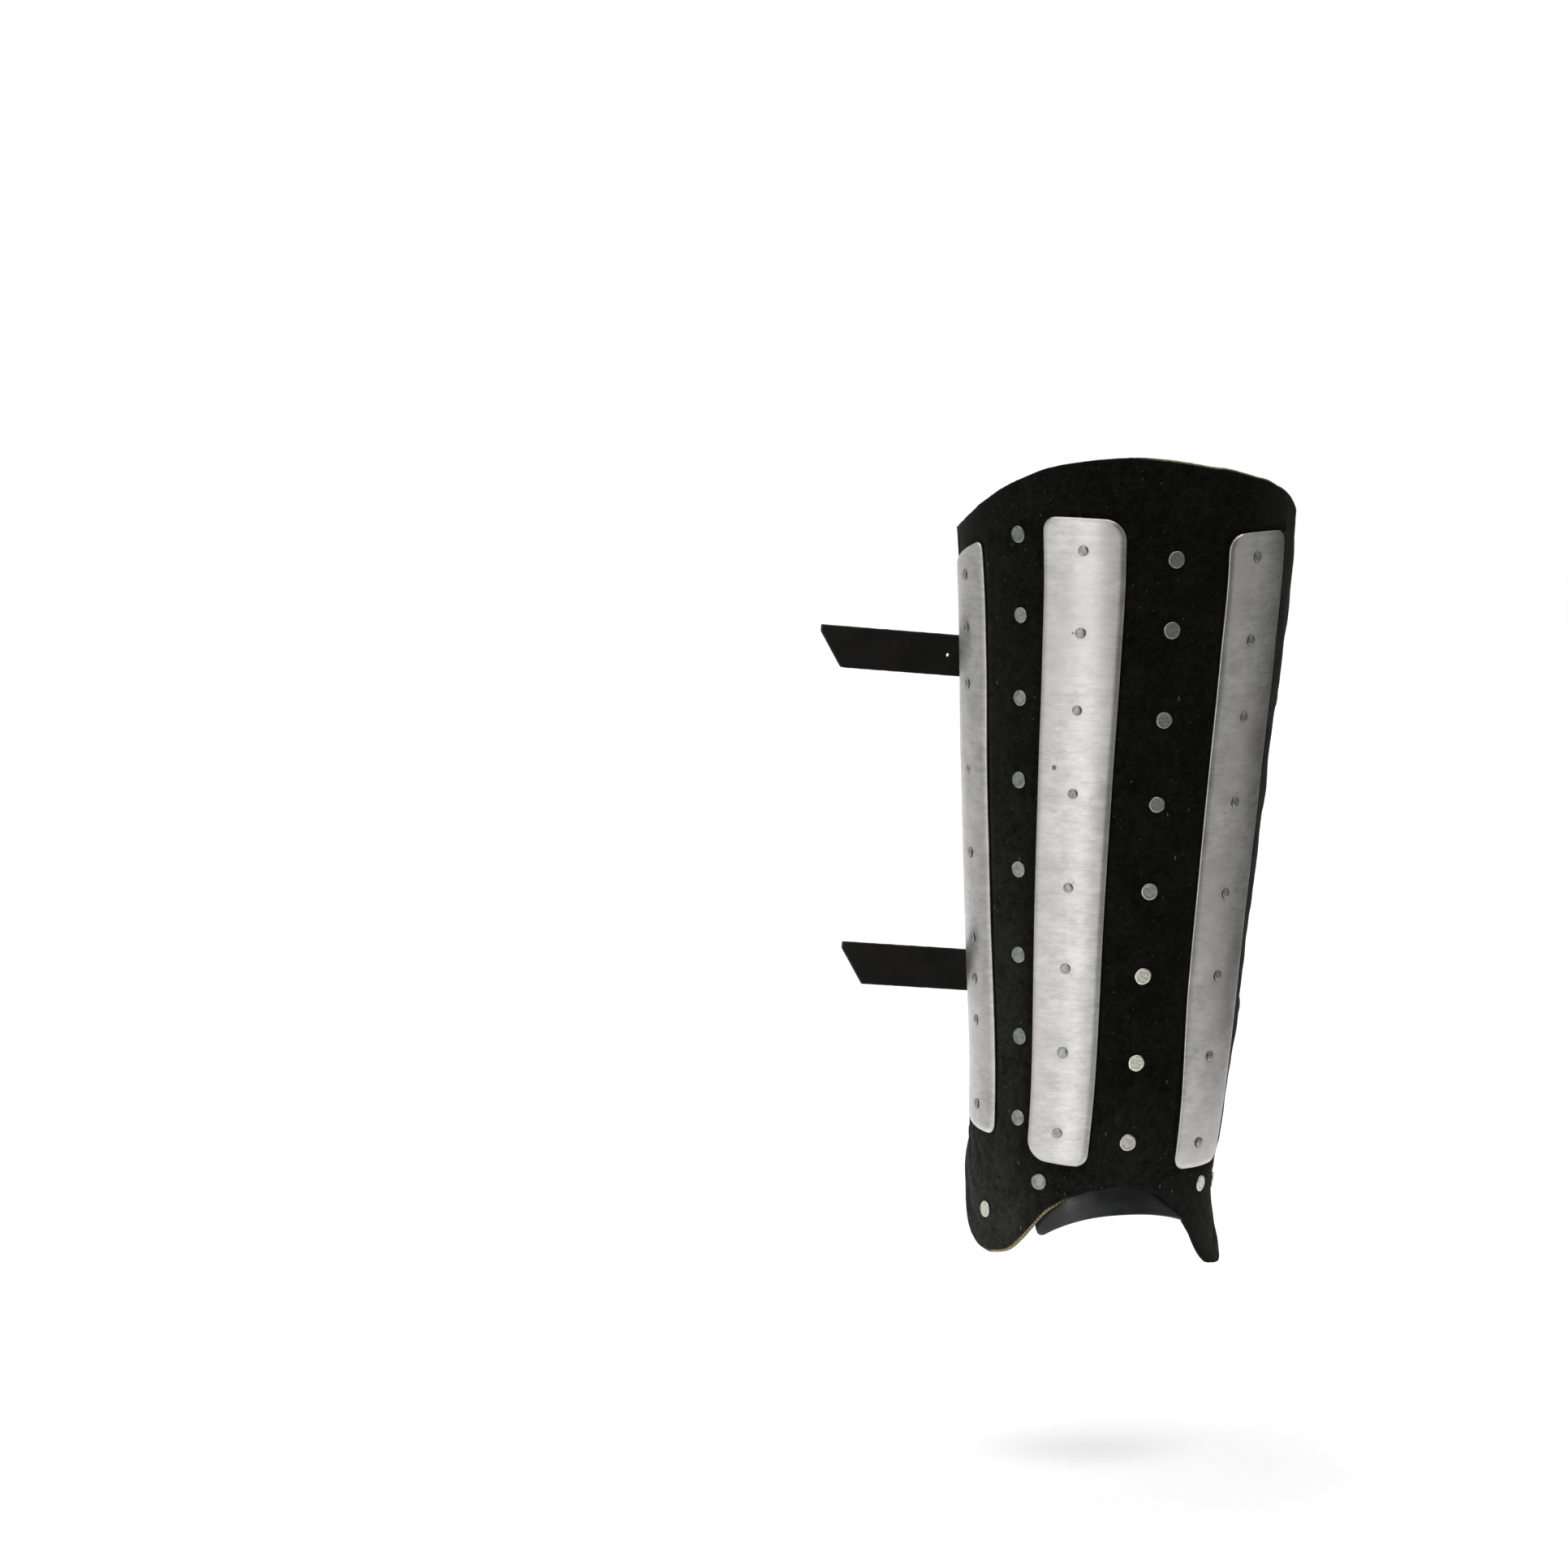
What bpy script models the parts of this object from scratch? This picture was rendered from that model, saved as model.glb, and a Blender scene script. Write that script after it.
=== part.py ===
"""Splinted greave for the wearer's left shin.

A shell of thick black leather is wrapped round the front and sides of the leg and stays open at
the back. Three steel splints lie on it, each held by a line of small rivets. Two lines of larger
rivets run down the bare leather between them. Below, the edge rises in an arch over the instep
and drops in a rounded flap beside each ankle bone. A crescent of smooth leather is riveted behind
the arch. Two straps close the back, each with a buckle on a short tab.

Lengths are in metres and angles in degrees. +X is the outer side of the leg, -Y the front and +Z
up. The origin is on the leg's axis at the height of the ankle bone. An angle is measured round
the leg from the front, positive towards the outer side.
"""

import math

import bmesh
import bpy
import numpy as np
from mathutils import Matrix, Vector

# Leg form
CROWN_HEIGHT = 0.376
ANKLE_HALF_WIDTH = 0.0599
TOP_HALF_WIDTH = 0.0837
ANKLE_SIDE_SET = -0.0104
SIDE_LEAN = 0.0172
BACK_DEPTH = 1.12

# Leather shell
SHELL_THICKNESS = 0.003
INNER_EDGE_ANGLE = -108.0
OUTER_EDGE_ANGLE = 106.0
TOP_EDGE_DROP = 0.046
FLAP_DROP = 0.0272
ARCH_RISE = 0.0445
BACK_CORNER_RADIUS = 0.012
SHELL_COLUMNS = 32
COLUMN_CROWDING = 0.2
SHELL_ROWS = 15
SHELL_ROW_SPREAD = 1.5

# Steel splints. The margins are the distances from the shell's top and bottom edges to the ends
# of the splints and rivet lines, and from a splint's end to its first rivet.
TOP_MARGIN = 0.026
BOTTOM_MARGIN = 0.022
END_MARGIN = 0.0125
SPLINT_WIDTH = 0.040
SPLINT_THICKNESS = 0.0015
SPLINT_CORNER_RADIUS = 0.008
SPLINT_END_CROWN = 0.0022
SPLINT_COLUMNS = 5
SPLINT_ROWS = 9
CORNER_TURNS = (15, 45, 90)

# Rivets
RIVET_SIDES = 8
SPLINT_HEAD_RADIUS = 0.0025
SPLINT_HEAD_HEIGHT = 0.0007
SPLINT_SHANK_RADIUS = 0.0015
LEATHER_HEAD_RADIUS = 0.0042
LEATHER_HEAD_HEIGHT = 0.0009
LEATHER_SHANK_RADIUS = 0.002
TAIL_OVERHANG = 0.0014
TAIL_HEIGHT = 0.0008
HEAD_TOP_SHARE = 0.8

# Straps, tabs and buckles
STRAP_THICKNESS = 0.0026
STRAP_GAP = 0.0005
STRAP_WIDTH = 0.020
STRAP_START_ANGLE = 86.0
STRAP_RIVET_ANGLE = 95.0
STRAP_STEPS = 12
STRAP_END_LENGTH = 0.1315
BUCKLE_ANGLE = 198.0
TAIL_RISE_ANGLE = 6.3
TIP_CUT = 0.0122
TIP_SHOULDER = 0.7
HOLE_RADIUS = 0.00125
HOLE_PITCH = 0.0221
PRONG_SLOT_LENGTH = 0.0078
TAB_START_ANGLE = -63.0
TAB_NARROWING = 0.035
TAB_WIDTH = 0.019
TAB_BASE_MARGIN = 0.0045
TAB_STEPS = 12
TAB_LIFT = 0.012
FOLD_LENGTH = 0.020
FOLD_CLEARANCE = 0.003
FOLD_SHARES = (0.35, 0.7)
WRAP_START = 65
WRAP_STEPS = 6
BUCKLE_WIRE_RADIUS = 0.0016
BUCKLE_LENGTH = 0.016
BUCKLE_SIDE_PLAY = 0.0009
BUCKLE_CORNER_RADIUS = 0.003
PRONG_RADIUS = 0.0011

# Instep crescent
INSTEP_THICKNESS = 0.0026
INSTEP_INNER_ANGLE = -30.0
INSTEP_OUTER_ANGLE = 67.0
INSTEP_APEX_ANGLE = 14.0
INSTEP_SHOW = 0.0135
INSTEP_END_DROP = 0.0135
INSTEP_OVERLAP = 0.0092
INSTEP_COLUMNS = 13
INSTEP_ROWS = 2
INSTEP_GAP = 0.0007

# Clearance between neighbouring pieces, under a rivet's head and over its tail, and how far a
# cutter reaches past what it cuts
GAP = 0.0003
HEAD_GAP = 0.0004
TAIL_GAP = 0.0005
CUT_REACH = 0.002
WELD_DISTANCE = 0.00001
WIRE_RESOLUTION = 2
SLOPE_SHARE = 0.025

# Sections of the leg. height: share of CROWN_HEIGHT. swell: share of the way from
# ANKLE_HALF_WIDTH to TOP_HALF_WIDTH. lean: share of SIDE_LEAN that the middle has moved.
SECTIONS = (
    (-0.08, 0.06, 0.19),
    (-0.03, 0.02, 0.09),
    (0.01, 0.01, 0.03),
    (0.05, 0.05, 0.07),
    (0.09, 0.08, 0.19),
    (0.20, 0.19, 0.38),
    (0.41, 0.44, 0.56),
    (0.62, 0.68, 0.78),
    (0.73, 0.79, 0.90),
    (0.86, 0.93, 1.00),
    (0.95, 1.02, 1.00),
    (1.06, 1.05, 1.00),
)

# Top edge. angle, drop below the crown as a share of TOP_EDGE_DROP.
TOP_EDGE = (
    (-108, 1.00),
    (-90, 0.88),
    (-76, 0.77),
    (-60, 0.55),
    (-43, 0.29),
    (-22, 0.07),
    (2, 0.00),
    (31, 0.13),
    (49, 0.26),
    (62, 0.39),
    (73, 0.54),
    (84, 0.72),
    (106, 0.92),
)

# Bottom edge. angle, height above the lowest flap as a share of ARCH_RISE.
BOTTOM_EDGE = (
    (-108, 1.62),
    (-98, 1.20),
    (-90, 0.86),
    (-84, 0.60),
    (-78, 0.38),
    (-70, 0.26),
    (-58, 0.19),
    (-48, 0.22),
    (-38, 0.36),
    (-30, 0.55),
    (-20, 0.76),
    (-8, 0.92),
    (10, 1.00),
    (28, 0.92),
    (38, 0.80),
    (47, 0.62),
    (54, 0.40),
    (60, 0.16),
    (67, 0.03),
    (75, 0.00),
    (84, 0.04),
    (92, 0.26),
    (99, 0.75),
    (106, 1.25),
)

# Splints. name, angle of the middle at the top and at the bottom, width at the top and at the
# bottom as shares of SPLINT_WIDTH, distance of the ends from the shell's edges as shares of
# TOP_MARGIN and BOTTOM_MARGIN, rivet angle minus middle angle, distance from each end to its
# first rivet as shares of END_MARGIN, and the rivets' places between those two as shares.
SPLINTS = (
    (
        "inner_splint",
        (-73.6, -70.6),
        (1.0, 0.825),
        (0.415, 2.563),
        0.4,
        (1.296, 0.936),
        (1.0, 0.902, 0.795, 0.634, 0.477, 0.317, 0.238, 0.159, 0.0),
    ),
    (
        "front_splint",
        (-16.4, -20.0),
        (1.025, 0.7625),
        (1.035, 0.917),
        0.0,
        (1.232, 1.4),
        (1.0, 0.860, 0.728, 0.586, 0.425, 0.286, 0.140, 0.0),
    ),
    (
        "outer_splint",
        (48.8, 52.6),
        (1.105, 0.98),
        (1.005, 1.428),
        -2.0,
        (0.92, 0.992),
        (1.0, 0.859, 0.729, 0.584, 0.428, 0.287, 0.149, 0.0),
    ),
)

# Rivet lines in the bare leather. name, angle at the top and at the bottom, distance of the top
# and of the bottom rivet from the shell's edges as shares of TOP_MARGIN and BOTTOM_MARGIN, and
# the rivets' places between those two as shares.
ROWS = (
    (
        "inner_row",
        (-41.2, -40.7),
        (0.996, 2.873),
        (1.0, 0.863, 0.722, 0.582, 0.429, 0.282, 0.141, 0.0),
    ),
    (
        "outer_row",
        (14.8, 12.2),
        (1.817, 1.017),
        (1.0, 0.880, 0.727, 0.583, 0.434, 0.288, 0.138, 0.0),
    ),
)

# Single rivets above the arch and in the flaps. name, angle, height above the lowest flap as a
# share of ARCH_RISE, whether it also holds the instep crescent.
ANKLE_RIVETS = (
    ("arch_inner_rivet", -26.5, 1.045, True),
    ("arch_outer_rivet", 60.4, 0.935, True),
    ("flap_inner_rivet", -60.0, 0.645, False),
    ("flap_outer_rivet", 85.0, 0.881, False),
)

# Straps. name, height of the strap's rivet and of the buckle as shares of CROWN_HEIGHT, length
# from the buckle's bar to the tip as a share of STRAP_END_LENGTH, holes beyond the buckle, and
# the two rivets of the inner splint that hold its tab, counted from the top.
STRAPS = (
    ("upper", 0.665, 0.6875, 1.0, 3, (1, 2)),
    ("lower", 0.2593, 0.2713, 0.886, 2, (5, 6)),
)

# Strap through its buckle. place beyond the near bar as a share of BUCKLE_LENGTH, height as a
# share of the way from UNDER_LEVEL to OVER_LEVEL. Before these it leaves the leg at LIFT_SHARE
# and has risen by its own thickness at RISEN_SHARE, both counted back from the near bar.
CLIMB = (
    (-1.0, 0.0),
    (-0.5, 0.585),
    (-0.12, 0.935),
    (0.25, 1.0),
)
LIFT_SHARE = 2.2
RISEN_SHARE = 1.55

# Prong. places before the near bar as shares of BUCKLE_LENGTH, and its hole in the strap.
PRONG_PLACES = (0.0, 0.10, 0.22, 0.38, 1.12)
PRONG_HOLE_PLACE = 0.2

ARCH_TOP = ARCH_RISE - FLAP_DROP
STRAP_BED = SHELL_THICKNESS + STRAP_GAP + STRAP_THICKNESS + GAP
STRAP_LEVEL = GAP + STRAP_THICKNESS / 2
FOLD_LEVEL = STRAP_LEVEL + STRAP_THICKNESS + GAP
BAR_LEVEL = (STRAP_LEVEL + FOLD_LEVEL) / 2
WRAP_RADIUS = BUCKLE_WIRE_RADIUS + GAP + STRAP_THICKNESS / 2
OVER_LEVEL = BAR_LEVEL + WRAP_RADIUS + STRAP_THICKNESS + 2 * GAP
PRONG_LEVEL = OVER_LEVEL + STRAP_THICKNESS
UNDER_LEVEL = STRAP_LEVEL + STRAP_THICKNESS / 2 + GAP
FAR_BAR_LEVEL = UNDER_LEVEL + STRAP_THICKNESS / 2 + 2 * GAP + BUCKLE_WIRE_RADIUS


def clear_scene():
    for old in list(bpy.data.objects):
        bpy.data.objects.remove(old, do_unlink=True)


def make_material(name, colour, roughness, metallic):
    material = bpy.data.materials.new(name)
    material.use_nodes = True
    shader = material.node_tree.nodes["Principled BSDF"]
    shader.inputs["Base Color"].default_value = (*colour, 1.0)
    shader.inputs["Roughness"].default_value = roughness
    shader.inputs["Metallic"].default_value = metallic
    return material


def new_object(name, mesh, collection, material=None):
    made = bpy.data.objects.new(name, mesh)
    collection.objects.link(made)
    if material and not mesh.materials:
        mesh.materials.append(material)
    return made


def smooth(rows, x, column=1):
    """Value at x of a curve through the rows' first and given columns. Each stretch is a cubic
    whose end slopes are harmonic means of the straight slopes beside them, so it never
    overshoots a row."""
    xs = np.array([row[0] for row in rows], float)
    ys = np.array([row[column] for row in rows], float)
    slope = np.diff(ys) / np.diff(xs)
    product = slope[1:] * slope[:-1]
    total = np.where(product > 0, slope[1:] + slope[:-1], 1.0)
    inner = np.where(product > 0, 2 * product / total, 0.0)
    slopes = np.concatenate([slope[:1], inner, slope[-1:]])
    x = np.clip(x, xs[0], xs[-1])
    k = np.clip(np.searchsorted(xs, x) - 1, 0, len(xs) - 2)
    step = xs[k + 1] - xs[k]
    t = (x - xs[k]) / step
    rise = ys[k] * (1 + 2 * t) * (1 - t) ** 2 + ys[k + 1] * t**2 * (3 - 2 * t)
    bend = slopes[k] * t * (1 - t) ** 2 - slopes[k + 1] * t**2 * (1 - t)
    return rise + step * bend


def section(height):
    """Half width and sideways middle of the leg at this height."""
    share = np.asarray(height, float) / CROWN_HEIGHT
    swell = smooth(SECTIONS, share, 1)
    lean = smooth(SECTIONS, share, 2)
    half = ANKLE_HALF_WIDTH + (TOP_HALF_WIDTH - ANKLE_HALF_WIDTH) * swell
    return half, ANKLE_SIDE_SET + SIDE_LEAN * lean


def skin_normal(angle, height):
    """Outward unit normal: the section ellipse's own, leaned back by how fast the section
    grows and moves with height."""
    turn = np.radians(angle)
    depth = np.where(np.cos(turn) < 0, BACK_DEPTH, 1.0)
    flat = np.stack([depth * np.sin(turn), -np.cos(turn)], -1)
    flat /= np.linalg.norm(flat, axis=-1, keepdims=True)
    step = SLOPE_SHARE * CROWN_HEIGHT
    high, low = section(height + step), section(height - step)
    growth = (high[0] - low[0]) / (2 * step)
    drift = (high[1] - low[1]) / (2 * step)
    reach = np.sin(turn) * flat[..., 0] - depth * np.cos(turn) * flat[..., 1]
    lean = -(growth * reach + drift * flat[..., 0])
    normal = np.concatenate([flat, lean[..., None]], -1)
    return normal / np.linalg.norm(normal, axis=-1, keepdims=True)


def skin(angle, height, out=0.0):
    """Points at these angles and heights, this far outside the shell's outer face. The section
    is an ellipse: as deep as it is wide in front, and deeper by BACK_DEPTH behind."""
    angle, height = np.broadcast_arrays(np.asarray(angle, float), np.asarray(height, float))
    turn = np.radians(angle)
    half, middle = section(height)
    depth = np.where(np.cos(turn) < 0, BACK_DEPTH, 1.0)
    face = [middle + half * np.sin(turn), -depth * half * np.cos(turn), height]
    return np.stack(face, -1) + np.asarray(out)[..., None] * skin_normal(angle, height)


def top_edge(angle):
    return CROWN_HEIGHT - TOP_EDGE_DROP * smooth(TOP_EDGE, angle)


def bottom_edge(angle):
    return ARCH_RISE * smooth(BOTTOM_EDGE, angle) - FLAP_DROP


def line_ends(angles, gaps):
    """Heights of the top and the bottom of a line, measured from the shell's edges."""
    top = top_edge(angles[0]) - TOP_MARGIN * gaps[0]
    return top, bottom_edge(angles[1]) + BOTTOM_MARGIN * gaps[1]


def between(ends, share):
    """Value this share of the way from the second end to the first."""
    return ends[1] + (ends[0] - ends[1]) * share


def splint_rivet_heights(row):
    _, angles, _, gaps, _, margins, shares = row
    top, bottom = line_ends(angles, gaps)
    ends = top - END_MARGIN * margins[0], bottom + END_MARGIN * margins[1]
    return between(ends, np.array(shares))


def round_corner(distance):
    """How far an edge draws back at this distance from a rounded corner's side."""
    near = np.clip(1 - distance / BACK_CORNER_RADIUS, 0, 1)
    return BACK_CORNER_RADIUS * (1 - np.sqrt(1 - near**2))


def sheet_mesh(name, points):
    """Open surface through a grid of points, its faces to the right of the first direction
    and up the second."""
    across, along = points.shape[:2]
    index = np.arange(across * along).reshape(across, along)
    corners = index[:-1, :-1], index[1:, :-1], index[1:, 1:], index[:-1, 1:]
    faces = np.stack([corner.ravel() for corner in corners], -1)
    mesh = bpy.data.meshes.new(name)
    mesh.from_pydata(points.reshape(-1, 3).tolist(), [], faces.tolist())
    mesh.update()
    return mesh


def thicken(made, thickness, offset):
    wall = made.modifiers.new("Wall", "SOLIDIFY")
    wall.thickness = thickness
    wall.offset = offset
    wall.use_even_offset = True


def cut(made, cutter):
    holes = made.modifiers.new(cutter.name, "BOOLEAN")
    holes.operation = "DIFFERENCE"
    holes.solver = "EXACT"
    holes.object = cutter


def make_cutter(name, work, collection):
    """Hidden object of the closed shapes gathered in a bmesh."""
    mesh = bpy.data.meshes.new(name)
    work.to_mesh(mesh)
    work.free()
    made = new_object(name, mesh, collection)
    made.hide_render = True
    made.display_type = "WIRE"
    return made


def place_matrix(origin, normal, side):
    """Axes at origin: Z along normal, X as near to side as it can be."""
    z = Vector(normal).normalized()
    y = z.cross(Vector(side)).normalized()
    x = y.cross(z)
    turned = Matrix((x, y, z)).transposed().to_4x4()
    return Matrix.Translation(Vector(origin)) @ turned


def add_cylinder(work, matrix, radius, low, high, stretch=1.0):
    """Closed cylinder along the matrix's Z, from low to high, stretched along its X."""
    middle = Matrix.Translation((0, 0, (low + high) / 2))
    longer = Matrix.Diagonal((stretch, 1, 1, 1))
    bmesh.ops.create_cone(
        work,
        cap_ends=True,
        segments=RIVET_SIDES,
        radius1=radius,
        radius2=radius,
        depth=high - low,
        matrix=matrix @ middle @ longer,
    )


def rivet_plan():
    """Every rivet as (name, angle, height, large, top face, bottom face): the faces are where
    its head and its tail bear, measured outwards from the shell's outer face."""
    plan = []
    strap_depth = -(SHELL_THICKNESS + STRAP_GAP + STRAP_THICKNESS)
    instep_depth = -(SHELL_THICKNESS + INSTEP_GAP + INSTEP_THICKNESS)
    tab_rivets = {place for strap in STRAPS for place in strap[5]}
    for row in SPLINTS:
        name, angles, _, gaps, aside, _, _ = row
        for place, height in enumerate(splint_rivet_heights(row)):
            angle = splint_angle(angles, line_ends(angles, gaps), height) + aside
            held = row is SPLINTS[0] and place in tab_rivets
            depth = strap_depth if held else -SHELL_THICKNESS
            face = GAP + SPLINT_THICKNESS
            plan.append((f"{name}_rivet_{place + 1}", angle, height, False, face, depth))
    for name, angles, gaps, shares in ROWS:
        heights = line_ends(angles, gaps)
        for place, share in enumerate(shares):
            angle, height = between(angles, share), between(heights, share)
            rivet = f"{name}_rivet_{place + 1}"
            plan.append((rivet, angle, height, True, 0.0, -SHELL_THICKNESS))
    for name, angle, share, deep in ANKLE_RIVETS:
        height = ARCH_RISE * share - FLAP_DROP
        depth = instep_depth if deep else -SHELL_THICKNESS
        plan.append((name, angle, height, True, 0.0, depth))
    for name, share, *_ in STRAPS:
        height = CROWN_HEIGHT * share
        rivet = f"{name}_strap_rivet"
        plan.append((rivet, STRAP_RIVET_ANGLE, height, True, 0.0, strap_depth))
    return plan


def rivet_matrix(angle, height):
    normal = skin_normal(np.array(angle), np.array(height))
    return place_matrix(skin(angle, height), normal, (0, 0, 1))


def make_rivet(name, angle, height, large, face, depth, collection, material):
    """Rivet turned from its profile: low domed head outside, shank, peened tail inside."""
    head = LEATHER_HEAD_RADIUS if large else SPLINT_HEAD_RADIUS
    rise = LEATHER_HEAD_HEIGHT if large else SPLINT_HEAD_HEIGHT
    shank = LEATHER_SHANK_RADIUS if large else SPLINT_SHANK_RADIUS
    seat, end = face + HEAD_GAP, depth - TAIL_GAP
    profile = (
        (0, seat + rise),
        (HEAD_TOP_SHARE * head, seat + rise),
        (head, seat),
        (shank, seat),
        (shank, end),
        (shank + TAIL_OVERHANG, end),
        (0, end - TAIL_HEIGHT),
    )
    mesh = bpy.data.meshes.new(name)
    edges = [(k, k + 1) for k in range(len(profile) - 1)]
    mesh.from_pydata([(x, 0, z) for x, z in profile], edges, [])
    made = new_object(name, mesh, collection, material)
    made.matrix_world = rivet_matrix(angle, height)
    turn = made.modifiers.new("Turn", "SCREW")
    turn.axis = "Z"
    turn.angle = 2 * math.pi
    turn.steps = turn.render_steps = RIVET_SIDES
    turn.use_merge_vertices = True
    turn.merge_threshold = WELD_DISTANCE
    return made


def rivet_bores(plan, collection):
    """One cutter with a bore for every rivet, each wider than its shank by the gap."""
    work = bmesh.new()
    for _, angle, height, large, face, depth in plan:
        shank = LEATHER_SHANK_RADIUS if large else SPLINT_SHANK_RADIUS
        matrix = rivet_matrix(angle, height)
        add_cylinder(work, matrix, shank + GAP, depth - CUT_REACH, face + CUT_REACH)
    return make_cutter("rivet_bores", work, collection)


def make_shell(bores, collection, material):
    """Leather wall: angles run round the leg, closer together near the back corners, and
    each column of points goes from the bottom edge to the top edge."""
    share = np.linspace(0, 1, SHELL_COLUMNS + 1)
    share = share - COLUMN_CROWDING * np.sin(2 * np.pi * share) / (2 * np.pi)
    angle = INNER_EDGE_ANGLE + (OUTER_EDGE_ANGLE - INNER_EDGE_ANGLE) * share
    top, bottom = top_edge(angle), bottom_edge(angle)
    to_edge = np.minimum(angle - INNER_EDGE_ANGLE, OUTER_EDGE_ANGLE - angle)
    corner = round_corner(np.radians(to_edge) * section(0.5 * CROWN_HEIGHT)[0])
    rise = np.linspace(0, 1, SHELL_ROWS + 1) ** SHELL_ROW_SPREAD
    height = (bottom + corner)[:, None] + (top - bottom - 2 * corner)[:, None] * rise
    points = skin(angle[:, None], height)
    made = new_object("shell", sheet_mesh("shell", points), collection, material)
    thicken(made, SHELL_THICKNESS, -1)
    cut(made, bores)
    return made


def splint_angle(angles, heights, height):
    """Angle of a splint's middle line at this height: straight from its bottom to its top."""
    return between(angles, (height - heights[1]) / (heights[0] - heights[1]))


def make_splint(name, angles, widths, gaps, bores, collection, material):
    """Steel strip bent round the leg, wider at the top, with rounded corners and crowned
    ends. Rows lie closer together through the corners, where the strip narrows."""
    heights = line_ends(angles, gaps)
    length = heights[0] - heights[1]
    inset = SPLINT_CORNER_RADIUS * (1 - np.cos(np.radians(CORNER_TURNS)))
    middle = np.linspace(inset[-1], length - inset[-1], SPLINT_ROWS + 1)[1:-1]
    along = np.concatenate([inset, middle, length - inset[::-1]])
    share = along / length
    from_end = np.clip(np.minimum(along, length - along), 0, SPLINT_CORNER_RADIUS)
    back = SPLINT_CORNER_RADIUS - from_end
    drawn_in = SPLINT_CORNER_RADIUS - np.sqrt(SPLINT_CORNER_RADIUS**2 - back**2)
    half = SPLINT_WIDTH * between(widths, share) / 2 - drawn_in
    across = np.linspace(-1, 1, SPLINT_COLUMNS + 1)[:, None]
    crown = SPLINT_END_CROWN * across**2 * (1 - 2 * share)
    height = heights[1] + along + crown
    radius = section(height)[0]
    angle = splint_angle(angles, heights, height) + np.degrees(across * half / radius)
    points = skin(angle, height, GAP)
    made = new_object(name, sheet_mesh(name, points), collection, material)
    thicken(made, SPLINT_THICKNESS, 1)
    cut(made, bores)
    return made


def make_instep(bores, collection, material):
    """Crescent of smooth leather behind the arch: its lower edge is a low parabola that shows
    below the arch, and its top edge is level."""
    angle = np.linspace(INSTEP_INNER_ANGLE, INSTEP_OUTER_ANGLE, INSTEP_COLUMNS + 1)
    reach = np.where(
        angle < INSTEP_APEX_ANGLE,
        INSTEP_APEX_ANGLE - INSTEP_INNER_ANGLE,
        INSTEP_OUTER_ANGLE - INSTEP_APEX_ANGLE,
    )
    share = (angle - INSTEP_APEX_ANGLE) / reach
    low = ARCH_TOP - INSTEP_SHOW - INSTEP_END_DROP * share**2
    rise = np.linspace(0, 1, INSTEP_ROWS + 1)
    height = low[:, None] + (ARCH_TOP + INSTEP_OVERLAP - low)[:, None] * rise
    level = -(SHELL_THICKNESS + INSTEP_GAP + INSTEP_THICKNESS / 2)
    points = skin(angle[:, None], height, level)
    made = new_object("instep_crescent", sheet_mesh("instep", points), collection, material)
    thicken(made, INSTEP_THICKNESS, 0)
    cut(made, bores)
    return made


def buckle_axes(height):
    """(origin, forward, outward, across) at the buckle's bar. The origin is on the leg, forward
    is the way the strap's end goes, rising by TAIL_RISE_ANGLE, and across points up."""
    ahead = np.array([BUCKLE_ANGLE, BUCKLE_ANGLE + 1.0])
    points = skin(ahead, height, -STRAP_BED)
    flat = points[1] - points[0]
    flat[2] = 0
    flat /= np.linalg.norm(flat)
    rise = math.radians(TAIL_RISE_ANGLE)
    forward = flat * math.cos(rise) + np.array([0, 0, math.sin(rise)])
    outward = np.array([-flat[1], flat[0], 0])
    if outward @ skin_normal(np.array(BUCKLE_ANGLE), np.array(height)) < 0:
        outward = -outward
    across = np.cross(outward, forward)
    across = across if across[2] > 0 else -across
    return points[0], forward, outward, across


def beside_leg(axes, along, level):
    """Point this far along the strap's end and this far out from the leg, whose surface falls
    away from the buckle's plane as a circle does."""
    origin, forward, outward, _ = axes
    radius = BACK_DEPTH * section(origin[2])[0]
    return origin + along * forward + (level - along**2 / (2 * radius)) * outward


def path_frame(points, outward):
    """Unit directions along and across a path, with the outward ones made square to it."""
    along = np.gradient(points, axis=0)
    along /= np.linalg.norm(along, axis=1, keepdims=True)
    across = np.cross(outward, along)
    across /= np.linalg.norm(across, axis=1, keepdims=True)
    across *= np.where(across[:, 2:] < 0, -1, 1)
    return along, across


def make_ribbon(name, points, outward, half, shares, tip_cut, collection, material):
    """Flat strip carried along a path. shares are the places across it, from -1 at the lower
    edge to 1 at the upper one, and tip_cut shortens the lower edge at the end."""
    along, across = path_frame(points, outward)
    shares = np.array(shares)
    grid = points[:, None] + across[:, None] * half[:, None, None] * shares[:, None]
    grid[-1, 0] -= tip_cut * along[-1]
    made = new_object(name, sheet_mesh(name, grid), collection, material)
    thicken(made, STRAP_THICKNESS, 0)
    return made


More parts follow.
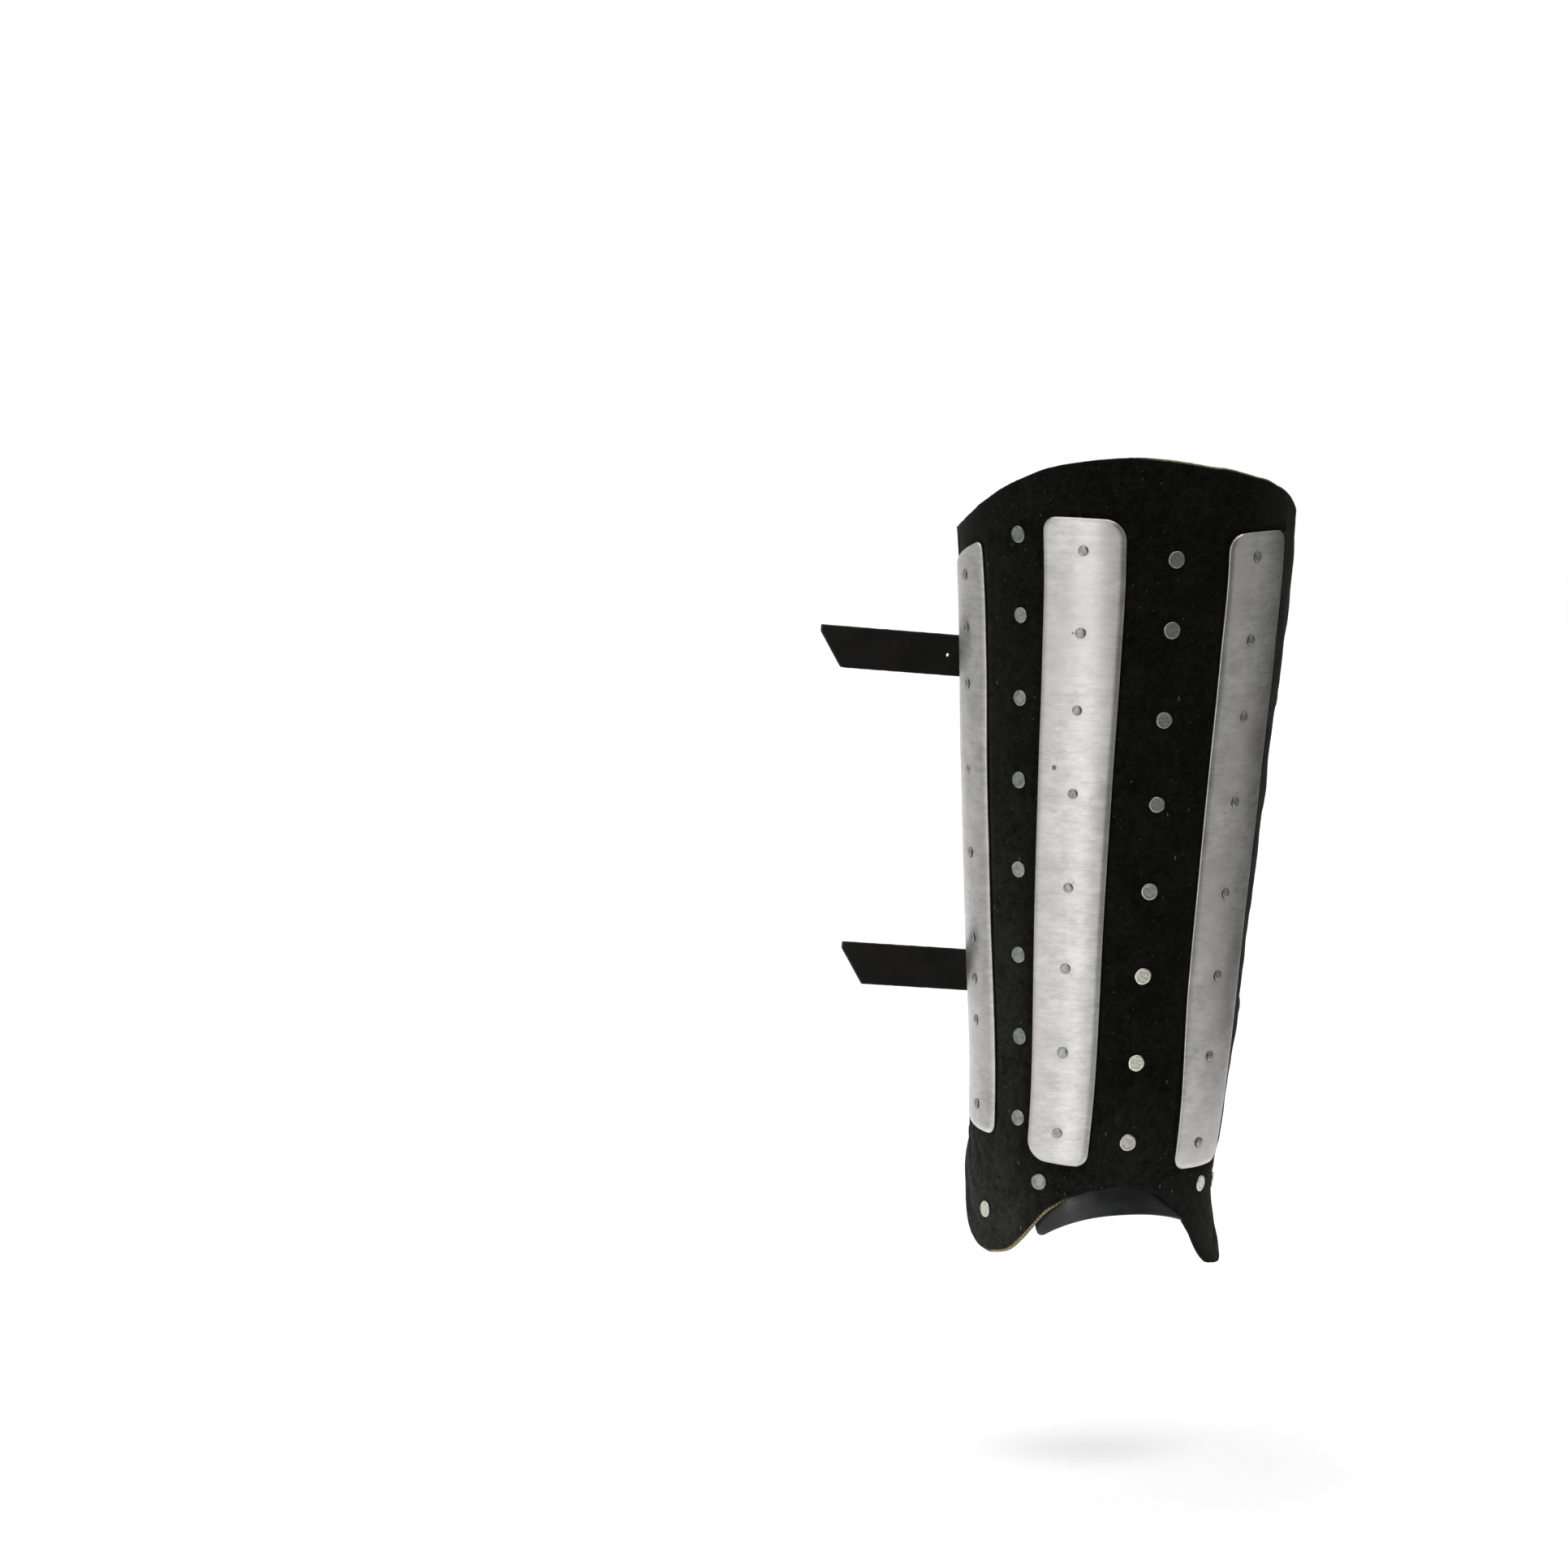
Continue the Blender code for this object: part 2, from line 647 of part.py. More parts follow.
def strap_route(rivet_height, buckle_height, length):
    """Strap from inside the shell's outer edge, round the calf, under the buckle's far bar,
    over its near bar and straight on to the tip. Its height bends smoothly from the rivet's
    height to the rise of its end."""
    axes = buckle_axes(buckle_height)
    origin, forward, outward, _ = axes
    lift, radius = LIFT_SHARE * BUCKLE_LENGTH, section(buckle_height)[0]
    lift_angle = BUCKLE_ANGLE - math.degrees(lift / radius)
    angle = np.linspace(STRAP_START_ANGLE, lift_angle, STRAP_STEPS + 1)
    last = beside_leg(axes, -lift, STRAP_LEVEL)[2]
    share = (angle - angle[0]) / (angle[-1] - angle[0])
    run = math.radians(angle[-1] - angle[0]) * radius
    end_rise = math.tan(math.radians(TAIL_RISE_ANGLE)) * run
    start_rise = 2 * (last - rivet_height) - end_rise
    height = rivet_height + start_rise * share + (end_rise - start_rise) * share**2 / 2
    points = [skin(angle, height, STRAP_LEVEL - STRAP_BED)]
    risen = beside_leg(axes, -RISEN_SHARE * BUCKLE_LENGTH, STRAP_LEVEL + STRAP_THICKNESS)
    places = [(place * BUCKLE_LENGTH, share) for place, share in CLIMB]
    places += [(length / 2, 1.0), (length, 1.0)]
    straight = [risen]
    for along, share in places:
        level = between((OVER_LEVEL, UNDER_LEVEL), share)
        straight.append(origin + along * forward + level * outward)
    normals = [skin_normal(angle, height), np.tile(outward, (len(straight), 1))]
    return axes, np.concatenate(points + [straight]), np.concatenate(normals)


def make_strap(name, heights, length, holes, bores, collections, material):
    parts, cutters = collections
    axes, points, normals = strap_route(*heights, length)
    half = np.full(len(points), STRAP_WIDTH / 2)
    shares = (-1, TIP_SHOULDER, 1)
    made = make_ribbon(
        f"{name}_strap", points, normals, half, shares, TIP_CUT, parts, material
    )
    cut(made, bores)
    origin, forward, outward, _ = axes
    work = bmesh.new()
    prong_place = -PRONG_HOLE_PLACE * BUCKLE_LENGTH
    reach = STRAP_THICKNESS / 2 + CUT_REACH
    for count in range(1, holes + 1):
        centre = origin + (prong_place + count * HOLE_PITCH) * forward
        matrix = place_matrix(centre, outward, forward)
        add_cylinder(work, matrix, HOLE_RADIUS, OVER_LEVEL - reach, OVER_LEVEL + reach)
    matrix = place_matrix(origin + prong_place * forward, outward, forward)
    wide = PRONG_RADIUS + 2 * GAP
    stretch = PRONG_SLOT_LENGTH / (2 * wide)
    add_cylinder(work, matrix, wide, BAR_LEVEL, OVER_LEVEL + reach, stretch)
    cut(made, make_cutter(f"{name}_strap_holes", work, cutters))


def make_tab(name, buckle_height, places, bores, collections, material):
    """Tab riveted inside the shell's inner side. It narrows, leaves the shell, goes round the
    calf to the buckle, wraps its bar and comes back under itself."""
    parts, cutters = collections
    axes = buckle_axes(buckle_height)
    origin, forward, outward, _ = axes
    high, low = splint_rivet_heights(SPLINTS[0])[list(places)]
    base_height = (high + low) / 2
    base_half = (high - low) / 2 + SPLINT_SHANK_RADIUS + TAB_BASE_MARGIN
    radius = section(buckle_height)[0]
    land = FOLD_LENGTH + TAB_LIFT
    land_angle = BUCKLE_ANGLE - 360 + math.degrees(land / (BACK_DEPTH * radius))
    land_height = beside_leg(axes, land, STRAP_LEVEL)[2]
    angle = np.linspace(TAB_START_ANGLE, land_angle, TAB_STEPS + 1)
    rivet_angle = SPLINTS[0][1][0]
    share = np.clip((rivet_angle - angle) / (rivet_angle - land_angle), -1, 1)
    height = base_height + (land_height - base_height) * share
    points = [skin(angle, height, STRAP_LEVEL - STRAP_BED)]
    normals = [skin_normal(angle, height)]
    near, far = FOLD_LENGTH * np.array(FOLD_SHARES)
    levels = (
        (FOLD_LENGTH + FOLD_CLEARANCE, FOLD_LEVEL),
        (far, FOLD_LEVEL),
        (near, FOLD_LEVEL + GAP),
    )
    for along, level in levels:
        points.append(beside_leg(axes, along, level)[None])
        normals.append(outward[None])
    for turn in np.radians(np.linspace(WRAP_START, 360 - WRAP_START, WRAP_STEPS + 1)):
        radial = math.cos(turn) * forward + math.sin(turn) * outward
        points.append((origin + BAR_LEVEL * outward + WRAP_RADIUS * radial)[None])
        normals.append(radial[None])
    for along in (near, far, FOLD_LENGTH):
        points.append(beside_leg(axes, along, STRAP_LEVEL)[None])
        normals.append(-outward[None])
    points, normals = np.concatenate(points), np.concatenate(normals)
    run = np.concatenate([[0], np.cumsum(np.linalg.norm(np.diff(points, axis=0), axis=1))])
    at_rivet = np.interp(-rivet_angle, -angle, run[: len(angle)])
    from_rivet = np.clip((run - at_rivet) / TAB_NARROWING, 0, 1)
    ease = from_rivet**2 * (3 - 2 * from_rivet)
    half = base_half + (TAB_WIDTH / 2 - base_half) * ease
    made = make_ribbon(
        f"{name}_tab", points, normals, half, (-1, 1), 0.0, parts, material
    )
    cut(made, bores)
    work = bmesh.new()
    reach = WRAP_RADIUS + STRAP_THICKNESS / 2 + CUT_REACH
    size = (reach + PRONG_RADIUS, 2 * (PRONG_RADIUS + 2 * GAP), reach)
    along = (PRONG_RADIUS - reach) / 2
    centre = origin + along * forward + (BAR_LEVEL + reach / 2) * outward
    matrix = place_matrix(centre, outward, forward) @ Matrix.Diagonal((*size, 1))
    bmesh.ops.create_cube(work, size=1, matrix=matrix)
    cut(made, make_cutter(f"{name}_tab_slot", work, cutters))


def wire_mesh(name, points, radius, closed):
    """Mesh of a round wire through the points, with its caps welded on."""
    curve = bpy.data.curves.new(name, "CURVE")
    curve.dimensions = "3D"
    curve.bevel_depth = radius
    curve.bevel_resolution = WIRE_RESOLUTION
    curve.use_fill_caps = True
    spline = curve.splines.new("POLY")
    spline.points.add(len(points) - 1)
    for place, point in zip(spline.points, points):
        place.co = (*point, 1)
    spline.use_cyclic_u = closed
    guide = bpy.data.objects.new(name, curve)
    bpy.context.scene.collection.objects.link(guide)
    graph = bpy.context.evaluated_depsgraph_get()
    mesh = bpy.data.meshes.new_from_object(guide.evaluated_get(graph))
    bpy.data.objects.remove(guide, do_unlink=True)
    bpy.data.curves.remove(curve)
    work = bmesh.new()
    work.from_mesh(mesh)
    bmesh.ops.remove_doubles(work, verts=work.verts, dist=WELD_DISTANCE)
    bmesh.ops.recalc_face_normals(work, faces=work.faces)
    work.to_mesh(mesh)
    work.free()
    return mesh


def buckle_outline(axes):
    """Rounded rectangle of wire, its near bar at the tab's fold and its far bar raised over
    the strap."""
    origin, forward, outward, across = axes
    half = STRAP_WIDTH / 2 + BUCKLE_SIDE_PLAY + BUCKLE_WIRE_RADIUS
    r = BUCKLE_CORNER_RADIUS
    corners = (
        (-BUCKLE_LENGTH + r, half - r, 90),
        (-BUCKLE_LENGTH + r, -half + r, 180),
        (-r, -half + r, 270),
        (-r, half - r, 0),
    )
    points = []
    for along, side, start in corners:
        for turn in np.radians((start, start + 45, start + 90)):
            s = along + r * math.cos(turn)
            w = side + r * math.sin(turn)
            level = BAR_LEVEL - (FAR_BAR_LEVEL - BAR_LEVEL) * s / BUCKLE_LENGTH
            points.append(origin + s * forward + w * across + level * outward)
    return points


def make_buckle(name, buckle_height, collections, material):
    """Frame and prong as one plain piece: the prong rises from the near bar through the tab
    and the strap, and lies over the far bar."""
    parts, cutters = collections
    axes = buckle_axes(buckle_height)
    origin, forward, outward, _ = axes
    outline = buckle_outline(axes)
    frame = new_object(
        f"{name}_buckle",
        wire_mesh(f"{name}_buckle", outline, BUCKLE_WIRE_RADIUS, True),
        parts,
        material,
    )
    over = FAR_BAR_LEVEL + BUCKLE_WIRE_RADIUS + PRONG_RADIUS + GAP
    levels = BAR_LEVEL, (BAR_LEVEL + OVER_LEVEL) / 2, OVER_LEVEL, PRONG_LEVEL, over
    route = [
        origin - place * BUCKLE_LENGTH * forward + level * outward
        for place, level in zip(PRONG_PLACES, levels)
    ]
    prong = new_object(
        f"{name}_prong", wire_mesh(f"{name}_prong", route, PRONG_RADIUS, False), cutters
    )
    prong.hide_render = True
    prong.display_type = "WIRE"
    join = frame.modifiers.new("Prong", "BOOLEAN")
    join.operation = "UNION"
    join.solver = "EXACT"
    join.object = prong


def main():
    clear_scene()
    parts = bpy.data.collections.new("greave")
    cutters = bpy.data.collections.new("cutters")
    for collection in (parts, cutters):
        bpy.context.scene.collection.children.link(collection)
    suede = make_material("black_suede", (0.012, 0.011, 0.011), 0.95, 0.0)
    smooth_leather = make_material("smooth_leather", (0.014, 0.014, 0.015), 0.5, 0.0)
    steel = make_material("brushed_steel", (0.62, 0.61, 0.60), 0.35, 1.0)
    rivet_steel = make_material("rivet_steel", (0.50, 0.52, 0.50), 0.45, 1.0)
    plan = rivet_plan()
    bores = rivet_bores(plan, cutters)
    make_shell(bores, parts, suede)
    for name, angles, widths, gaps, *_ in SPLINTS:
        make_splint(name, angles, widths, gaps, bores, parts, steel)
    for rivet in plan:
        make_rivet(*rivet, parts, rivet_steel)
    make_instep(bores, parts, smooth_leather)
    pair = (parts, cutters)
    for name, rivet_share, buckle_share, length_share, holes, places in STRAPS:
        buckle_height = CROWN_HEIGHT * buckle_share
        heights = CROWN_HEIGHT * rivet_share, buckle_height
        length = STRAP_END_LENGTH * length_share
        make_strap(name, heights, length, holes, bores, pair, smooth_leather)
        make_tab(name, buckle_height, places, bores, pair, smooth_leather)
        make_buckle(name, buckle_height, pair, rivet_steel)


main()
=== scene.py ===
"""Looks of a splinted greave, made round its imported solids.

Every surface is worked out on the same leg form as the solids: a leather wall, three steel
splints, two kinds of rivet, a crescent of smooth leather behind the arch, and two straps that run
through buckles on short tabs. Each shape is a function of two parameters on a grid, or a profile
carried along a path.

Lengths are in metres and angles in degrees. +X is the outer side of the leg, -Y the front and +Z
up. An angle is measured round the leg from the front, positive towards the outer side.
"""

import math

import bpy
import numpy as np
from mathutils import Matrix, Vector


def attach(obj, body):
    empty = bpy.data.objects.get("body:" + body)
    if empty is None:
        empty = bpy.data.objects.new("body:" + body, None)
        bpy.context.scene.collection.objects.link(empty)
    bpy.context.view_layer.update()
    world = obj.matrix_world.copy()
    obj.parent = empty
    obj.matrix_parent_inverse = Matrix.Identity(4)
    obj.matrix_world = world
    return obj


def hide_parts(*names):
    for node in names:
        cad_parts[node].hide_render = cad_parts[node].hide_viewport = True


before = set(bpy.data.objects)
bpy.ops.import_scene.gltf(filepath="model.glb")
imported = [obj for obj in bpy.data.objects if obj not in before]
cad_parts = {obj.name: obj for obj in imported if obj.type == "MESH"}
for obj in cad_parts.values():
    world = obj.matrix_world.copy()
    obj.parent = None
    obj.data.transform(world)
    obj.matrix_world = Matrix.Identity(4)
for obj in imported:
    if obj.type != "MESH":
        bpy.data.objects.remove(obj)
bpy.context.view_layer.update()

# Leg form, as in the solids
CROWN_HEIGHT = 0.376
ANKLE_HALF_WIDTH = 0.0599
TOP_HALF_WIDTH = 0.0837
ANKLE_SIDE_SET = -0.0104
SIDE_LEAN = 0.0172
BACK_DEPTH = 1.12
SLOPE_SHARE = 0.025
FIND_ROUNDS = 8
FIND_SPAN = 0.5

# Leather wall
WALL_THICKNESS = 0.003
INNER_EDGE_ANGLE = -108.0
OUTER_EDGE_ANGLE = 106.0
TOP_EDGE_DROP = 0.046
FLAP_DROP = 0.0272
ARCH_RISE = 0.0445
BACK_CORNER_RADIUS = 0.012
WALL_COLUMNS = 190
WALL_ROWS = 214
WALL_ROW_SPREAD = 1.15
WALL_CROWDING = 0.15
WALL_RIM_BULGE = 0.0005

# Steel splints
TOP_MARGIN = 0.026
BOTTOM_MARGIN = 0.022
SPLINT_WIDTH = 0.040
SPLINT_THICKNESS = 0.0015
SPLINT_COLUMNS = 44
SPLINT_ROWS = 230
SPLINT_END_REACH = 0.012
SPLINT_END_STEPS = 18
SPLINT_CROWDING = 0.92
SPLINT_SEAT = 0.0003
ROLL_WIDTH = 0.0026
ROLL_DEPTH = 0.0006
SPLINT_RIM_BULGE = 0.0004
SPLINT_TOP_PART = (0.6, 1.0)
SPLINT_BOTTOM_PART = (0.0, 0.3)
PULLED_IN = 0.00012
PULL_RADIUS = 0.0042
FARTHEST_RIVET = 0.02
FARTHEST_MARK = 9.0

# Rivets
SPLINT_HEAD_RADIUS = 0.0025
SPLINT_HEAD_HEIGHT = 0.00075
SPLINT_SHANK_RADIUS = 0.0015
LEATHER_HEAD_RADIUS = 0.0042
LEATHER_HEAD_HEIGHT = 0.0009
LEATHER_SHANK_RADIUS = 0.002
TAIL_OVERHANG = 0.0014
TAIL_HEIGHT = 0.0008
TAIL_GAP = 0.0005
LEATHER_HEAD_GAP = 0.0001
RIVET_STEPS = 40
RIVET_WOBBLE = 0.018
WOBBLE_WAVES = (2, 3, 5)
WOBBLE_LEAST = 0.3
WOBBLE_TURN = 6
RIVET_BED = 0.00005
RIVET_FIRST_SEED = 100
HEAD_SMALLEST = 0.93
HEAD_TILT = 0.025
HEAD_DENT = (0.00005, 0.0024)
HEAD_NECK = 0.96
UNDER_RIM = 0.22
UV_SHIFT = 0.01
CLEAN_MOST = 0.12

# Straps, tabs and buckles, as in the solids
GAP = 0.0003
STRAP_GAP = 0.0005
STRAP_THICKNESS = 0.0026
STRAP_WIDTH = 0.020
STRAP_START_ANGLE = 86.0
STRAP_STEPS = 12
STRAP_END_LENGTH = 0.1315
BUCKLE_ANGLE = 198.0
TAIL_RISE_ANGLE = 6.3
TIP_CUT = 0.0122
TIP_SHOULDER = 0.7
TIP_LENGTH = 0.030
HOLE_RADIUS = 0.00125
HOLE_PITCH = 0.0221
PRONG_HOLE_PLACE = 0.2
PRONG_SLOT_LENGTH = 0.0078
PRONG_SLOT_WIDTH = 0.0036
LIFT_SHARE = 2.2
RISEN_SHARE = 1.55
TAB_START_ANGLE = -63.0
TAB_STEPS = 12
TAB_LIFT = 0.012
TAB_NARROWING = 0.035
TAB_WIDTH = 0.019
TAB_BASE_MARGIN = 0.0045
FOLD_LENGTH = 0.020
FOLD_CLEARANCE = 0.003
FOLD_SHARES = (0.35, 0.7)
WRAP_START = 65
WRAP_STEPS = 6
BUCKLE_WIRE_RADIUS = 0.0016
BUCKLE_LENGTH = 0.016
BUCKLE_SIDE_PLAY = 0.0009
BUCKLE_CORNER_RADIUS = 0.003
PRONG_RADIUS = 0.0011

# Finer detail of the straps, tabs and buckles. A wave has its height and its length. The prong
# loops from its first to its last angle in so many points.
RIBBON_CELL = 0.0009
RIBBON_COLUMNS = 22
HOLE_CELLS = 2
SWAYED_CELLS = 6
RIBBON_RIM_BULGE = 0.0004
RIBBON_EDGE_WAVE = (0.00005, 0.007)
RIBBON_EDGE_POWER = 8
RIBBON_SIDES_APART = 0.02
RIBBON_WAVES = ((0.00008, 0.018), (0.00002, 0.004))
STRAP_SEED = 75
TAB_SEED = 85
TAB_SLOT_HALF = 0.0042
TAB_SLOT_PLACE = 0.45
BUCKLE_CORNER_STEPS = 8
TUBE_SIDES = 16
PRONG_STEPS = 59
PRONG_LOOP_SHARE = 0.85
PRONG_LOOP = (-150, 120, 19)

# Instep crescent
INSTEP_THICKNESS = 0.0026
INSTEP_GAP = 0.0007
INSTEP_INNER_ANGLE = -30.0
INSTEP_OUTER_ANGLE = 67.0
INSTEP_APEX_ANGLE = 14.0
INSTEP_SHOW = 0.0135
INSTEP_END_DROP = 0.0135
INSTEP_OVERLAP = 0.0092
INSTEP_FLARE = 0.0042
INSTEP_FLARE_POWER = 1.7
INSTEP_CORNER_RADIUS = 0.005
INSTEP_BOW = 0.0016
INSTEP_PLAY = 0.0002
INSTEP_RIM_BULGE = 0.0006
INSTEP_COLUMNS = 110
INSTEP_ROWS = 40

# Sections of the leg. height: share of CROWN_HEIGHT. swell: share of the way from
# ANKLE_HALF_WIDTH to TOP_HALF_WIDTH. lean: share of SIDE_LEAN that the middle has moved.
SECTIONS = (
    (-0.08, 0.06, 0.19),
    (-0.03, 0.02, 0.09),
    (0.01, 0.01, 0.03),
    (0.05, 0.05, 0.07),
    (0.09, 0.08, 0.19),
    (0.20, 0.19, 0.38),
    (0.41, 0.44, 0.56),
    (0.62, 0.68, 0.78),
    (0.73, 0.79, 0.90),
    (0.86, 0.93, 1.00),
    (0.95, 1.02, 1.00),
    (1.06, 1.05, 1.00),
)

# Top edge. angle, drop below the crown as a share of TOP_EDGE_DROP.
TOP_EDGE = (
    (-108, 1.00),
    (-90, 0.88),
    (-76, 0.77),
    (-60, 0.55),
    (-43, 0.29),
    (-22, 0.07),
    (2, 0.00),
    (31, 0.13),
    (49, 0.26),
    (62, 0.39),
    (73, 0.54),
    (84, 0.72),
    (106, 0.92),
)

# Bottom edge. angle, height above the lowest flap as a share of ARCH_RISE.
BOTTOM_EDGE = (
    (-108, 1.62),
    (-98, 1.20),
    (-90, 0.86),
    (-84, 0.60),
    (-78, 0.38),
    (-70, 0.26),
    (-58, 0.19),
    (-48, 0.22),
    (-38, 0.36),
    (-30, 0.55),
    (-20, 0.76),
    (-8, 0.92),
    (10, 1.00),
    (28, 0.92),
    (38, 0.80),
    (47, 0.62),
    (54, 0.40),
    (60, 0.16),
    (67, 0.03),
    (75, 0.00),
    (84, 0.04),
    (92, 0.26),
    (99, 0.75),
    (106, 1.25),
)

# Splints. name, angle of the middle at the top and at the bottom, width at the top and at the
# bottom as shares of SPLINT_WIDTH, distance of the ends from the wall's edges as shares of
# TOP_MARGIN and BOTTOM_MARGIN, and how many rivets hold it.
SPLINTS = (
    ("inner_splint", (-73.6, -70.6), (1.0, 0.825), (0.415, 2.563), 9),
    ("front_splint", (-16.4, -20.0), (1.025, 0.7625), (1.035, 0.917), 8),
    ("outer_splint", (48.8, 52.6), (1.105, 0.98), (1.005, 1.428), 8),
)

# Ends of each splint, top and bottom: radius of the corner on its inner side and on its outer
# side, fall of the corners beside the middle, rise towards the outer side, how much shorter than
# the solid it is, and how much narrower on its inner side.
SPLINT_ENDS = (
    ((0.0070, 0.0052, 0.0006, 0.0066, 0.0044, 0.0), (0.0070, 0.0048, 0.0010, -0.0020, 0.0, 0.0)),
    ((0.0062, 0.0095, 0.0006, -0.0006, 0.0, 0.0), (0.0095, 0.0055, 0.0006, -0.0018, 0.0024, 0.0)),
    ((0.0080, 0.0056, 0.0008, -0.0002, 0.0, 0.0016), (0.0060, 0.0066, 0.0010, 0.0, 0.0, 0.0038)),
)

# Dark marks on the splints. splint, distance outwards from its middle line, rivet below or
# above which it lies, distance above that rivet, radius.
SPLINT_MARKS = (
    (1, -0.0100, 4, 0.0124, 0.0013),
    (1, -0.0090, 4, 0.0070, 0.0006),
    (1, 0.0004, 3, 0.0064, 0.0006),
    (1, -0.0040, 2, 0.0002, 0.0007),
    (1, -0.0006, 4, -0.0072, 0.0007),
    (2, -0.0036, 4, -0.0016, 0.0008),
    (2, 0.0022, 2, 0.0026, 0.0008),
    (1, 0.0022, 5, 0.0030, 0.0007),
    (1, 0.0030, 6, -0.0024, 0.0006),
    (0, 0.0014, 4, 0.0060, 0.0006),
)

# Rivets. The small ones hold the splints. The large ones are in two rows in the bare leather, in
# the flaps, beside the arch through the crescent too, and at the straps.
SMALL_RIVETS = tuple(
    f"{name}_rivet_{k}" for name, _, _, _, count in SPLINTS for k in range(1, count + 1)
)
ROW_RIVETS = tuple(f"{row}_row_rivet_{k}" for row in ("inner", "outer") for k in range(1, 9))
WALL_RIVETS = ROW_RIVETS + ("flap_inner_rivet", "flap_outer_rivet")
ARCH_RIVETS = ("arch_inner_rivet", "arch_outer_rivet")
STRAP_RIVETS = ("upper_strap_rivet", "lower_strap_rivet")

# How far the heads of these rivets have been wiped clean, from 0 to 1.
CLEAN_RIVETS = {
    "outer_row_rivet_1": 0.20,
    "outer_row_rivet_2": 0.20,
    "outer_row_rivet_3": 0.22,
    "outer_row_rivet_4": 0.30,
    "outer_row_rivet_5": 0.40,
    "outer_row_rivet_6": 0.95,
    "outer_row_rivet_7": 1.0,
    "outer_row_rivet_8": 0.62,
    "arch_outer_rivet": 0.75,
    "flap_inner_rivet": 0.65,
    "flap_outer_rivet": 0.6,
}

# Profiles of a rivet. radius as a share of the head's, height as a share of its rise. A large
# head is flat with a shallow ring and a rolled rim, a small one is domed.
LARGE_HEAD = (
    (0, 0.93), (0.25, 0.93), (0.46, 0.92), (0.56, 0.89), (0.62, 0.89), (0.72, 0.95),
    (0.82, 1.0), (0.91, 0.93), (0.975, 0.70), (1.0, 0.38), (0.985, 0.08),
)
SMALL_HEAD = (
    (0, 1.0), (0.22, 0.99), (0.45, 0.94), (0.66, 0.86), (0.80, 0.77), (0.90, 0.66),
    (0.97, 0.50), (1.0, 0.28), (0.985, 0.08),
)

# Peened tail. radius as a share of the shank's and of TAIL_OVERHANG, depth as a share of
# TAIL_HEIGHT.
PEENED_TAIL = ((1.0, 1.0, 0.0), (1.0, 1.02, 0.5), (0.6, 0.6, 0.95), (0.0, 0.0, 1.0))

# Straps. name, height of the strap's rivet and of the buckle as shares of CROWN_HEIGHT, length
# from the buckle's bar to the tip as a share of STRAP_END_LENGTH, holes beyond the buckle, and
# the two rivets of the inner splint that hold its tab.
STRAPS = (
    ("upper", 0.665, 0.6875, 1.0, 3, ("inner_splint_rivet_2", "inner_splint_rivet_3")),
    ("lower", 0.2593, 0.2713, 0.886, 2, ("inner_splint_rivet_6", "inner_splint_rivet_7")),
)
TAB_RIVETS = tuple(rivet for *_, rivets in STRAPS for rivet in rivets)

# Strap through its buckle. place beyond the near bar as a share of BUCKLE_LENGTH, height as a
# share of the way from UNDER_LEVEL to OVER_LEVEL.
CLIMB = (
    (-1.0, 0.0),
    (-0.5, 0.585),
    (-0.12, 0.935),
    (0.25, 1.0),
)

# Levels out from the leg at the buckle: the strap's middle, the tab's two layers and the bars.
STRAP_BED = WALL_THICKNESS + STRAP_GAP + STRAP_THICKNESS + GAP
STRAP_LEVEL = GAP + STRAP_THICKNESS / 2
FOLD_LEVEL = STRAP_LEVEL + STRAP_THICKNESS + GAP
BAR_LEVEL = (STRAP_LEVEL + FOLD_LEVEL) / 2
WRAP_RADIUS = BUCKLE_WIRE_RADIUS + GAP + STRAP_THICKNESS / 2
OVER_LEVEL = BAR_LEVEL + WRAP_RADIUS + STRAP_THICKNESS + 2 * GAP
UNDER_LEVEL = STRAP_LEVEL + STRAP_THICKNESS / 2 + GAP
FAR_BAR_LEVEL = UNDER_LEVEL + STRAP_THICKNESS / 2 + 2 * GAP + BUCKLE_WIRE_RADIUS
PRONG_REST_LEVEL = FAR_BAR_LEVEL + BUCKLE_WIRE_RADIUS + PRONG_RADIUS
ARCH_TOP = ARCH_RISE - FLAP_DROP

# Prong from the near bar to its tip. place beyond the bar as a share of BUCKLE_LENGTH, level.
PRONG_RISE = (
    (-0.22, OVER_LEVEL),
    (-0.40, OVER_LEVEL + STRAP_THICKNESS),
    (-0.75, PRONG_REST_LEVEL + 0.0006),
    (-1.0, PRONG_REST_LEVEL + 0.0001),
    (-1.12, PRONG_REST_LEVEL),
)

# Prong's thickness. share of its length, radius as a share of PRONG_RADIUS.
PRONG_TAPER = ((0.0, 0.7), (0.05, 1.0), (0.8, 0.9), (1.0, 0.5))

# Relief of the leather wall. Creases: first and last angle, first and last height above the
# wall's bottom edge, half width, rise (positive stands out).
CREASES = (
    (-104, -44, 0.0105, 0.0100, 0.0016, -0.0007),
    (68, 101, 0.0090, 0.0105, 0.0016, -0.0007),
    (-92, -70, 0.0360, 0.0250, 0.0030, 0.0009),
    (-84, -62, 0.0560, 0.0400, 0.0022, -0.0006),
    (88, 96, 0.0180, 0.0050, 0.0024, 0.0009),
    (62, 78, 0.0260, 0.0130, 0.0030, -0.0005),
)
CREASE_FADE = 4.0
FLARE_WIDTH = 0.009
FLARE_OUT = 0.0012
INNER_FLAP_SIDE = (38, 60)
OUTER_FLAP_SIDE = (60, 72)
SWELL_OUT = 0.0003
SWELL_PLACE = 0.004
SWELL_WIDTH = 0.003
PRESSED_IN = 0.0008
PRESSED_EDGE = (-0.0005, 0.0032)
BARE_EDGE = (-0.001, 0.003)
DIMPLE_DEPTH = 0.00035
DIMPLE_RADIUS = 0.0062
OUTER_SIDE = (62, 80)

